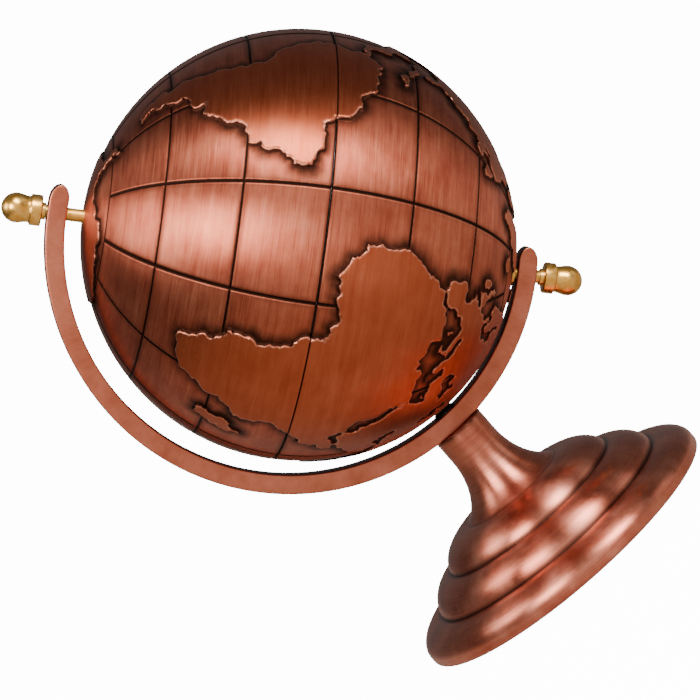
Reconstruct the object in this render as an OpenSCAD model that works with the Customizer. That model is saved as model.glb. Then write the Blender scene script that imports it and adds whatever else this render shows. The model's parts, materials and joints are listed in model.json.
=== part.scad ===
// Desk globe: two relief half shells on a tilted brass axle, carried by a
// C-shaped meridian arc on a turned three-step pedestal. Millimetres, +Z up,
// origin in the middle of the face that rests on the desk.

/* [Globe] */
// Outside radius of the globe, at the level of the raised land
globe_r = 63.8; // [60:0.1:64.2]
// Wall thickness of the half shells
shell_wall = 1.8; // [1.5:0.1:2.5]
// Height of the globe's centre above the desk
globe_z = 122.1; // [121:0.1:123]
// Lean of the axle from the vertical
tilt = 41; // [38:0.1:45]

/* [Axle] */
// Diameter of the axle rod over its thread crests
axle_d = 3.84; // [3:0.02:4]
// Radial running clearance in the arc's holes and in the pole bushes
running_gap = 0.06; // [0.02:0.01:0.1]
// Widest diameter of the brass knobs, at the collar
knob_d = 9.2; // [8:0.1:11]
// Length of a knob from the face of its collar to its tip
knob_length = 11.8; // [10.5:0.1:13]

/* [Arc] */
// Inside radius of the meridian arc
arc_inner_r = 66.7; // [66.7:0.1:67.5]
// Width of the arc's bar, across its flat side face
arc_width = 5.7; // [5:0.1:6.5]
// Depth of the arc's bar, front to back
arc_depth = 8; // [6:0.1:10]
// Offset of the arc's own centre from the pedestal's axis, towards the upper knob
arc_shift = 1.9; // [0:0.1:2.6]
// Length of the arc's bar past each axle hole, to the tip of its round end
arc_past_hole = 8.4; // [6:0.1:11]

/* [Pedestal] */
// Radius of the lowest step, which stands on the desk
foot_r = 51; // [49:0.1:54]
// Radius of the middle step
middle_step_r = 40.6; // [38:0.1:43]
// Radius of the upper step
upper_step_r = 30.2; // [28:0.1:33]
// Radius of the stem below the arc
stem_r = 8.1; // [7:0.1:9]
// Height of the seat on top of the stem, where the arc rests
seat_z = 50.5; // [50:0.1:51]

/* [Hidden] */
$fn = 96;
eps = 0.01;

// Arc: its outside passes through the seat on the pedestal's axis
arc_outer_r = arc_inner_r + arc_width;
arc_mid_r = arc_inner_r + arc_width / 2;
arc_z = seat_z + sqrt(arc_outer_r * arc_outer_r - arc_shift * arc_shift);
arc_chamfer = 0.5;
end_lip = 0.01;

// The globe's centre and the axle line in the arc's plane, measured from the arc's centre.
// "up" points along the axle to the south pole, which is the upper end.
up_x = -sin(tilt);
up_z = cos(tilt);
off_x = arc_shift;
off_z = globe_z - arc_z;
off_along = off_x * up_x + off_z * up_z;
off_across2 = off_x * off_x + off_z * off_z - off_along * off_along;
// Distance along the axle from the globe's centre to a circle of the arc
function upper_reach(r) = sqrt(r * r - off_across2) - off_along;
function lower_reach(r) = sqrt(r * r - off_across2) + off_along;
upper_hole_angle = atan2(off_z + upper_reach(arc_mid_r) * up_z, off_x + upper_reach(arc_mid_r) * up_x);
lower_hole_angle = atan2(off_z - lower_reach(arc_mid_r) * up_z, off_x - lower_reach(arc_mid_r) * up_x) + 360;
end_angle = (arc_past_hole - arc_width / 2) / arc_mid_r * 180 / PI;

// Globe
shell_inner_r = globe_r - shell_wall;
pole_flat = globe_r - 0.5;
boss_r = 6;
boss_depth = 5;
bush_r = 3;
bush_flange_r = 4.6;
bush_flange = 1;
seam_ring_wall = 1.4;
seam_ring_width = 9;
washer_thickness = 0.9;
washer_r = 3.7;

// Axle
axle_r = axle_d / 2;
knob_boss = 1.2;
knob_bore_depth = 6;
body_gap = 0.3;
lower_neck = 2.5;
upper_knob_face = upper_reach(arc_outer_r) + body_gap + knob_boss;
lower_knob_face = lower_reach(arc_outer_r) + lower_neck;

// Pedestal: each step is a quarter-ellipse dome that rises until the next one starts
curve_points = 12;
foot_dome_low = 3.5;
foot_dome_top = 9.9;
middle_dome_low = 8.9;
middle_dome_top = 18.2;
upper_dome_low = 17.2;
upper_dome_top = 25.9;
flare_r = 21.5;
flare_low = 24.7;
flare_top = 43.4;
rim_lift = 0.6;
rim_round = 1.4;
hollow_ceiling = 28;
felt_r = 46.4;
felt_thickness = 1.5;
board_thickness = 2.4;

// Fasteners: an M4 button-head bolt, 35 mm long, and its nut
bolt_r = 1.95;
bolt_hole_r = 2.2;
bolt_length = 35;
bolt_head_r = 3.5;
bolt_head_height = 1.4;
spot_face_r = 3.9;
spot_face_z = arc_z - arc_inner_r - 0.1;
hex_key_af = 2.5;
nut_af = 7;
nut_height = 3.2;
flat_washer_thickness = 1;
spring_washer_thickness = 1;

copper = "peru";
brass = "gold";
steel = "dimgray";

// Puts children on the axle: local +Z runs up the axle to the south pole
module on_axle() {
    translate([0, 0, globe_z]) rotate([0, -tilt, 0]) children();
}

// Stands children in the arc's plane, with local X and Y as the row's X and Z
module in_arc_plane() {
    translate([-arc_shift, 0, arc_z]) rotate([90, 0, 0]) children();
}

module ring(outer_r, inner_r, height) {
    difference() {
        cylinder(r = outer_r, h = height);
        translate([0, 0, -eps]) cylinder(r = inner_r, h = height + 2 * eps);
    }
}

// A dome's quarter ellipse from (outer, low) up and in to (inner, high), begun at the height start
function dome(outer, low, inner, high, start) = [
    for (i = [0:curve_points])
        let (first = asin((start - low) / (high - low)), a = first + (90 - first) * i / curve_points)
        [inner + (outer - inner) * cos(a), low + (high - low) * sin(a)]
];

// A dome's radius at the height z
function dome_r(outer, low, inner, high, z) =
    inner + (outer - inner) * sqrt(1 - pow((z - low) / (high - low), 2));

// The stem's concave flare: a quarter ellipse that hollows the corner, begun at the height start
function flare(outer, low, inner, high, start) = [
    for (i = [0:curve_points])
        let (first = acos((high - start) / (high - low)), a = first + (90 - first) * i / curve_points)
        [outer - (outer - inner) * sin(a), high - (high - low) * cos(a)]
];

// The creases, where one curve gives way to the next
flare_crease_r = flare_r - (flare_r - stem_r) * sqrt(1 - pow((flare_top - upper_dome_top) / (flare_top - flare_low), 2));
upper_crease_r = dome_r(upper_step_r, upper_dome_low, flare_crease_r, upper_dome_top, middle_dome_top);
middle_crease_r = dome_r(middle_step_r, middle_dome_low, upper_crease_r, middle_dome_top, foot_dome_top);

function pedestal_outline() = concat(
    [for (i = [0:3]) let (a = 30 * i)
        [foot_r - rim_round * (1 - sin(a)), rim_lift + rim_round * (1 - cos(a))]],
    dome(foot_r, foot_dome_low, middle_crease_r, foot_dome_top, foot_dome_low),
    dome(middle_step_r, middle_dome_low, upper_crease_r, middle_dome_top, foot_dome_top + 0.05),
    dome(upper_step_r, upper_dome_low, flare_crease_r, upper_dome_top, middle_dome_top + 0.05),
    flare(flare_r, flare_low, stem_r, flare_top, upper_dome_top + 0.1),
    [[stem_r, seat_z + 0.2], [stem_r - 0.6, seat_z + 0.8], [0, seat_z + 0.8], [0, rim_lift]]
);

function hollow_outline() = [
    [0, -1], [felt_r + 0.1, -1], [felt_r + 0.1, felt_thickness + board_thickness],
    [43.5, felt_thickness + board_thickness], [43.5, 5.2], [37.5, 5.8], [37.2, 12], [27.2, 13.2],
    [26.8, 19], [12.5, 22.8], [7.5, hollow_ceiling], [0, hollow_ceiling]
];

module pedestal() {
    color(copper)
    difference() {
        rotate_extrude() polygon(pedestal_outline());
        rotate_extrude() polygon(hollow_outline());
        cylinder(r = bolt_hole_r, h = seat_z + 5);
        // Saddle that the arc's round outside lies in
        in_arc_plane() translate([0, 0, -20]) cylinder(r = arc_outer_r, h = 40, $fn = 180);
    }
}

module base_board() {
    color("saddlebrown")
    translate([0, 0, felt_thickness]) cylinder(r = felt_r, h = board_thickness);
}

module base_felt() {
    color("darkgreen") cylinder(r = felt_r, h = felt_thickness);
}

// The bar's section: a rectangle with chamfered corners, from radius r0 out to r1
function bar_section(r0, r1) = [
    [r0, -arc_depth / 2 + arc_chamfer], [r0 + arc_chamfer, -arc_depth / 2],
    [r1 - arc_chamfer, -arc_depth / 2], [r1, -arc_depth / 2 + arc_chamfer],
    [r1, arc_depth / 2 - arc_chamfer], [r1 - arc_chamfer, arc_depth / 2],
    [r0 + arc_chamfer, arc_depth / 2], [r0, arc_depth / 2 - arc_chamfer]
];

// A round end on the bar, a hair inside its faces so that the two merge cleanly
module arc_end(angle) {
    r = arc_width / 2 - end_lip;
    half_depth = arc_depth / 2 - end_lip;
    rotate([0, 0, angle]) translate([arc_mid_r, 0, 0])
    rotate_extrude() polygon([
        [0, -half_depth], [r - arc_chamfer, -half_depth], [r, arc_chamfer - half_depth],
        [r, half_depth - arc_chamfer], [r - arc_chamfer, half_depth], [0, half_depth]
    ]);
}

module meridian_arc() {
    color(copper)
    difference() {
        in_arc_plane() {
            rotate([0, 0, upper_hole_angle - end_angle])
            rotate_extrude(angle = lower_hole_angle - upper_hole_angle + 2 * end_angle, $fn = 180)
            polygon(bar_section(arc_inner_r, arc_outer_r));
            arc_end(upper_hole_angle - end_angle);
            arc_end(lower_hole_angle + end_angle);
        }
        on_axle() cylinder(r = axle_r + running_gap, h = 4 * globe_r, center = true);
        translate([0, 0, seat_z - 2]) cylinder(r = bolt_hole_r, h = 10);
        translate([0, 0, spot_face_z]) cylinder(r = spot_face_r, h = 3);
    }
}

module arc_bolt() {
    color(steel)
    difference() {
        translate([0, 0, spot_face_z]) union() {
            translate([0, 0, -bolt_length]) cylinder(r = bolt_r, h = bolt_length + eps);
            rotate_extrude() polygon([
                [0, 0], [bolt_head_r, 0], [bolt_head_r, 0.35], [bolt_head_r * 0.88, 0.85],
                [bolt_head_r * 0.66, 1.25], [bolt_head_r * 0.45, bolt_head_height], [0, bolt_head_height]
            ]);
        }
        translate([0, 0, spot_face_z + 0.2]) cylinder(d = hex_key_af / cos(30), h = 3, $fn = 6);
    }
}

module bolt_washer() {
    color(steel)
    translate([0, 0, hollow_ceiling - flat_washer_thickness]) ring(4.5, bolt_hole_r, flat_washer_thickness);
}

module spring_washer() {
    color(steel)
    translate([0, 0, hollow_ceiling - flat_washer_thickness - spring_washer_thickness])
    difference() {
        ring(3.8, bolt_hole_r - 0.1, spring_washer_thickness);
        rotate([0, 0, 20]) translate([0, -0.25, -eps]) cube([5, 0.5, 2]);
    }
}

module bolt_nut() {
    color(steel)
    translate([0, 0, hollow_ceiling - flat_washer_thickness - spring_washer_thickness - nut_height])
    difference() {
        cylinder(d = nut_af / cos(30), h = nut_height, $fn = 6);
        translate([0, 0, -eps]) cylinder(r = bolt_r, h = nut_height + 2 * eps);
    }
}

module axle_rod() {
    color(brass)
    on_axle() translate([0, 0, -lower_knob_face - knob_bore_depth])
    cylinder(r = axle_r, h = lower_knob_face + upper_knob_face + 2 * knob_bore_depth);
}

// A ball-ended nut, its collar's face at Z 0 and its short boss below that
module knob(boss) {
    collar_r = knob_d / 2;
    ball_r = knob_d * 0.485;
    waist_r = knob_d * 0.43;
    waist_end = knob_length - ball_r - sqrt(ball_r * ball_r - waist_r * waist_r);
    difference() {
        union() {
            translate([0, 0, -boss]) cylinder(r = axle_r + 0.35, h = boss + eps);
            rotate_extrude() polygon([
                [0, 0], [collar_r - 0.5, 0], [collar_r, 0.5], [collar_r, 3],
                [collar_r - 0.4, 3.5], [waist_r, 4.1], [waist_r, waist_end], [0, waist_end]
            ]);
            translate([0, 0, knob_length - ball_r]) sphere(r = ball_r);
        }
        translate([0, 0, -boss - eps]) cylinder(r = axle_r, h = boss + knob_bore_depth + eps);
    }
}

module upper_knob() {
    color(brass) on_axle() translate([0, 0, upper_knob_face]) knob(knob_boss);
}

module lower_knob() {
    color(brass) on_axle() translate([0, 0, -lower_knob_face]) rotate([180, 0, 0]) knob(knob_boss);
}

// Half of the globe, with its pole at local +Z and its rim on the equator
module half_shell() {
    difference() {
        intersection() {
            union() {
                difference() {
                    sphere(r = globe_r, $fn = 180);
                    sphere(r = shell_inner_r, $fn = 180);
                }
                translate([0, 0, shell_inner_r - boss_depth]) cylinder(r = boss_r, h = boss_depth + shell_wall / 2);
            }
            translate([0, 0, 0.05]) cylinder(r = globe_r + 1, h = pole_flat - 0.05);
        }
        translate([0, 0, shell_inner_r - boss_depth - 1]) cylinder(r = bush_r, h = 20);
    }
}

module south_half_shell() {
    color(copper) on_axle() half_shell();
}

module north_half_shell() {
    color(copper) on_axle() rotate([180, 0, 0]) half_shell();
}

module seam_ring() {
    color("silver")
    on_axle() intersection() {
        difference() {
            sphere(r = shell_inner_r - 0.02, $fn = 180);
            sphere(r = shell_inner_r - seam_ring_wall, $fn = 180);
        }
        translate([0, 0, -seam_ring_width / 2]) cylinder(r = globe_r, h = seam_ring_width);
    }
}

module pole_bush() {
    bush_foot = shell_inner_r - boss_depth;
    difference() {
        union() {
            translate([0, 0, bush_foot]) cylinder(r = bush_r, h = pole_flat - bush_foot);
            translate([0, 0, bush_foot - bush_flange]) cylinder(r = bush_flange_r, h = bush_flange + eps);
        }
        translate([0, 0, bush_foot - 2]) cylinder(r = axle_r + running_gap, h = 20);
    }
}

module south_pole_bush() {
    color(brass) on_axle() pole_bush();
}

module north_pole_bush() {
    color(brass) on_axle() rotate([180, 0, 0]) pole_bush();
}

module thrust_washer() {
    color(brass)
    on_axle() rotate([180, 0, 0]) translate([0, 0, pole_flat]) ring(washer_r, axle_r + running_gap, washer_thickness);
}

pedestal();
base_board();
base_felt();
meridian_arc();
arc_bolt();
bolt_washer();
spring_washer();
bolt_nut();
axle_rod();
upper_knob();
lower_knob();
south_half_shell();
north_half_shell();
seam_ring();
south_pole_bush();
north_pole_bush();
thrust_washer();
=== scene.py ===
import json
import math
import bmesh
import bpy
import numpy as np
from mathutils import Matrix, Vector

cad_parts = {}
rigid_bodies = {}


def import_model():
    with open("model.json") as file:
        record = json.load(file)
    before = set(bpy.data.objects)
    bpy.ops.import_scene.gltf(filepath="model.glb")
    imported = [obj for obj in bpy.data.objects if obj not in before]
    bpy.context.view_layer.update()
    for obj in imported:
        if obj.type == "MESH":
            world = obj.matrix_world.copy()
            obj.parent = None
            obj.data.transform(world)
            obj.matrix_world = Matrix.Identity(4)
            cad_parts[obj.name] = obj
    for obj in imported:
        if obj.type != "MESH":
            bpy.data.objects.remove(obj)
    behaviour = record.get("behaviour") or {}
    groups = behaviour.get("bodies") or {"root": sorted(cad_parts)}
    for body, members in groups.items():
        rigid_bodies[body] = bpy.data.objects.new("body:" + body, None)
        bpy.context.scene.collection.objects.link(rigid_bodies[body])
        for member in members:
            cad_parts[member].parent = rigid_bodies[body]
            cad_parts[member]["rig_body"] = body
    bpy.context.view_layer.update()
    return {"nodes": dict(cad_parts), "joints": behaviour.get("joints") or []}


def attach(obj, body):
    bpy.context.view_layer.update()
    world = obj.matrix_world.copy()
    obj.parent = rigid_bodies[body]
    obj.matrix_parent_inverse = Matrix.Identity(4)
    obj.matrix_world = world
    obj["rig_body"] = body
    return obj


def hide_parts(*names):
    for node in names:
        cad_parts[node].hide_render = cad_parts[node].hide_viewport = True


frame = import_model()
mm = 0.001
degree = math.pi / 180


def hexLinear(code, alpha=1.0):
    # sRGB hex to linear colour: c / 12.92 below the knee, a 2.4 power above it
    values = [int(code[i:i + 2], 16) / 255 for i in (1, 3, 5)]
    return tuple(v / 12.92 if v <= 0.04045 else ((v + 0.055) / 1.055) ** 2.4 for v in values) + (alpha,)


def addNode(tree, kind, options=None, links=None):
    # one node, its settings, and for each input either a socket to link or a value
    node = tree.nodes.new(kind)
    for key, value in (options or {}).items():
        setattr(node, key, value)
    for key, source in (links or {}).items():
        if isinstance(source, bpy.types.NodeSocket):
            tree.links.new(source, node.inputs[key])
        else:
            node.inputs[key].default_value = source
    return node


def setRamp(node, stops):
    # colour ramp stops as (position, hex colour)
    ramp = node.color_ramp
    while len(ramp.elements) < len(stops):
        ramp.elements.new(0.5)
    for element, (place, colour) in zip(ramp.elements, stops):
        element.position = place
        element.color = hexLinear(colour)


def newMaterial(name):
    # a material with an empty node tree
    material = bpy.data.materials.new(name)
    material.use_nodes = True
    material.node_tree.nodes.clear()
    return material, material.node_tree


def buildMesh(name, points, faces, material, smooth=True, matrix=None):
    # points in millimetres in the piece's own frame; matrix carries them into the object's frame
    points = np.asarray(points, float).reshape(-1, 3)
    if matrix is not None:
        turn = np.array(matrix.to_3x3())
        points = points @ turn.T + np.array(matrix.translation)
    mesh = bpy.data.meshes.new(name)
    mesh.from_pydata((points * mm).tolist(), [], faces if isinstance(faces, list) else faces.tolist())
    mesh.polygons.foreach_set("use_smooth", np.full(len(mesh.polygons), smooth))
    mesh.materials.append(material)
    mesh.update()
    piece = bpy.data.objects.new(name, mesh)
    bpy.context.scene.collection.objects.link(piece)
    return piece


def gridFaces(rows, columns, closeRows=False, closeColumns=True):
    # quads of a grid of points, row by row, joined round where asked
    r = np.arange(rows if closeRows else rows - 1)[:, None]
    c = np.arange(columns if closeColumns else columns - 1)[None, :]
    r2 = (r + 1) % rows
    c2 = (c + 1) % columns
    quads = np.stack([r * columns + c, r * columns + c2, r2 * columns + c2, r2 * columns + c], -1)
    return quads.reshape(-1, 4)


def withoutRepeats(quads):
    # a quad with one pair of equal corners becomes a triangle, and one with two pairs falls out
    same = quads == np.roll(quads, -1, axis=1)
    single = same.sum(1) == 1
    order = (same[single].argmax(1)[:, None] + [1, 2, 3]) % 4
    triangles = np.take_along_axis(quads[single], order, 1)
    return quads[~same.any(1)].tolist() + triangles.tolist()


def roundedProfile(corners, steps=6):
    # corners as (radius, height, fillet): each fillet is a circle arc tangent to both sides
    out = []
    places = np.array([corner[:2] for corner in corners], float)
    for i, corner in enumerate(corners):
        p = places[i]
        if corner[2] <= 0 or i in (0, len(corners) - 1):
            out.append(p)
            continue
        a = places[i - 1] - p
        b = places[i + 1] - p
        before, after = np.linalg.norm(a), np.linalg.norm(b)
        a, b = a / before, b / after
        half = math.acos(np.clip(a @ b, -1, 1)) / 2
        reach = min(corner[2] / math.tan(half), 0.49 * before, 0.49 * after)
        radius = reach * math.tan(half)
        centre = p + (a + b) / np.linalg.norm(a + b) * radius / math.sin(half)
        start, end = p + a * reach - centre, p + b * reach - centre
        side = np.sign(start[0] * end[1] - start[1] * end[0])
        for t in np.linspace(0, math.pi - 2 * half, steps + 1):
            ct, st = math.cos(t), math.sin(t) * side
            out.append(centre + np.array([start[0] * ct - start[1] * st, start[0] * st + start[1] * ct]))
    return np.array(out)


def lathe(name, profile, material, around=160, matrix=None):
    # profile of (radius, height), turned about the height axis; ends on the axis close to a point
    profile = np.asarray(profile, float)
    closed = bool(np.allclose(profile[0], profile[-1]))
    if closed:
        profile = profile[:-1]
    rows = len(profile)
    turn = np.linspace(0, 2 * math.pi, around, endpoint=False)
    x = profile[:, :1] * np.cos(turn)
    y = profile[:, :1] * np.sin(turn)
    z = np.repeat(profile[:, 1:2], around, 1)
    points = np.stack([x, y, z], -1).reshape(-1, 3)
    # a row on the axis keeps only its first point
    place = np.arange(rows * around)
    onAxis = np.repeat(profile[:, 0] < 1e-6, around)
    faces = np.where(onAxis, place // around * around, place)[gridFaces(rows, around, closed)]
    keep, new = np.unique(faces, return_inverse=True)
    faces = withoutRepeats(new.reshape(faces.shape))
    piece = buildMesh(name, points[keep], faces, material, True, matrix)
    piece.data.set_sharp_from_angle(angle=math.radians(50))
    return piece


def direction(azimuth, elevation):
    # unit vector for degrees round from the front, which is -Y, and degrees up
    a, e = azimuth * degree, elevation * degree
    return Vector((math.sin(a) * math.cos(e), -math.cos(a) * math.cos(e), math.sin(e)))


camera = {
    "azimuth": -1.893,      # degrees round from the front
    "elevation": 8.402,
    "roll": 41.2,           # degrees; the globe's upright leans this far to the left
    "distance": 1.2271,     # metres from the aim
    "aim": (-0.00896, 0.0, 0.08877),
    "lens": 215.0,
    "sensor": 36.0,
    "clip": (0.05, 30.0),
}


def makeCamera():
    # level view from its direction, then rolled about the line of sight
    back = direction(camera["azimuth"], camera["elevation"])
    data = bpy.data.cameras.new("camera")
    data.lens = camera["lens"]
    data.sensor_width = camera["sensor"]
    data.clip_start, data.clip_end = camera["clip"]
    eye = bpy.data.objects.new("camera", data)
    bpy.context.scene.collection.objects.link(eye)
    level = (-back).to_track_quat("-Z", "Y").to_matrix()
    rolled = level @ Matrix.Rotation(-math.radians(camera["roll"]), 3, "Z")
    eye.matrix_world = Matrix.Translation(
        Vector(camera["aim"]) + back * camera["distance"]) @ rolled.to_4x4()
    bpy.context.scene.camera = eye


studio = {
    "floorColour": "#A1978D",
    "floorRadius": 6.0,          # metres
    "floorSides": 96,
    "worldColour": "#FFFFFF",
    "worldSeen": 14.0,           # the plain white that the camera sees behind everything
    "worldLight": 0.16,          # the weak light that it gives
    "lightAim": (0, 0, 0.11),
}


def makeFloor():
    # matt paper sweep; it glows for the camera alone, so that it reads as plain white
    turn = np.linspace(0, 2 * math.pi, studio["floorSides"], endpoint=False)
    rim = np.stack([np.cos(turn), np.sin(turn), 0 * turn], -1) * studio["floorRadius"] / mm
    material, tree = newMaterial("matte paper floor")
    path = addNode(tree, "ShaderNodeLightPath")
    glow = addNode(tree, "ShaderNodeMath", {"operation": "MULTIPLY"}, {
        0: path.outputs["Is Camera Ray"], 1: studio["worldSeen"]})
    shader = addNode(tree, "ShaderNodeBsdfPrincipled", None, {
        "Base Color": hexLinear(studio["floorColour"]), "Roughness": 0.9, "Specular IOR Level": 0.2,
        "Emission Color": (1, 1, 1, 1), "Emission Strength": glow.outputs[0]})
    addNode(tree, "ShaderNodeOutputMaterial", None, {"Surface": shader.outputs[0]})
    floor = buildMesh("studioFloor", rim, [list(range(studio["floorSides"]))], material, False)


def makeWorld():
    # white behind everything for the camera, and a weak even light for the rest
    world = bpy.data.worlds.new("studio")
    bpy.context.scene.world = world
    world.use_nodes = True
    tree = world.node_tree
    tree.nodes.clear()
    path = addNode(tree, "ShaderNodeLightPath")
    strength = addNode(tree, "ShaderNodeMapRange", None, {
        "Value": path.outputs["Is Camera Ray"],
        "To Min": studio["worldLight"], "To Max": studio["worldSeen"]})
    sky = addNode(tree, "ShaderNodeBackground", None, {
        "Color": hexLinear(studio["worldColour"]), "Strength": strength.outputs[0]})
    addNode(tree, "ShaderNodeOutputWorld", None, {"Surface": sky.outputs[0]})


lights = {
    # name: azimuth and elevation from the globe in degrees, distance and box size in metres, watts
    "rightBox": (38, 41, 1.1, (0.36, 0.54), 15),
    "leftBox": (-31, 37, 1.1, (0.44, 0.40), 11),
    "leftTop": (-85, 48, 1.2, (0.5, 0.5), 6),
    "frontCard": (2, 13, 1.8, (2.0, 1.1), 6),
    "rightCard": (80, 5, 1.4, (0.5, 1.0), 1.5),
}


def makeLights():
    # soft boxes round the globe, each turned to face it
    for name, (azimuth, elevation, distance, size, power) in lights.items():
        away = direction(azimuth, elevation)
        data = bpy.data.lights.new(name, "AREA")
        data.shape = "RECTANGLE"
        data.size, data.size_y = size
        data.energy = power
        lamp = bpy.data.objects.new(name, data)
        bpy.context.scene.collection.objects.link(lamp)
        lamp.location = Vector(studio["lightAim"]) + away * distance
        lamp.rotation_euler = (-away).to_track_quat("-Z", "Y").to_euler()


makeCamera()
makeFloor()
makeWorld()
makeLights()
print("camera, floor and lights made")


# the axle's frame: its Z runs up the joint's axis to the south pole
spin = frame["joints"][1]
southUp = Vector(spin["axis"]).normalized()
globeCentre = Vector(spin["pos_m"]) / mm
axleTilt = math.atan2(-southUp.x, southUp.z)
axleMatrix = Matrix.Translation(globeCentre) @ Matrix.Rotation(-axleTilt, 4, "Y")


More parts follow.
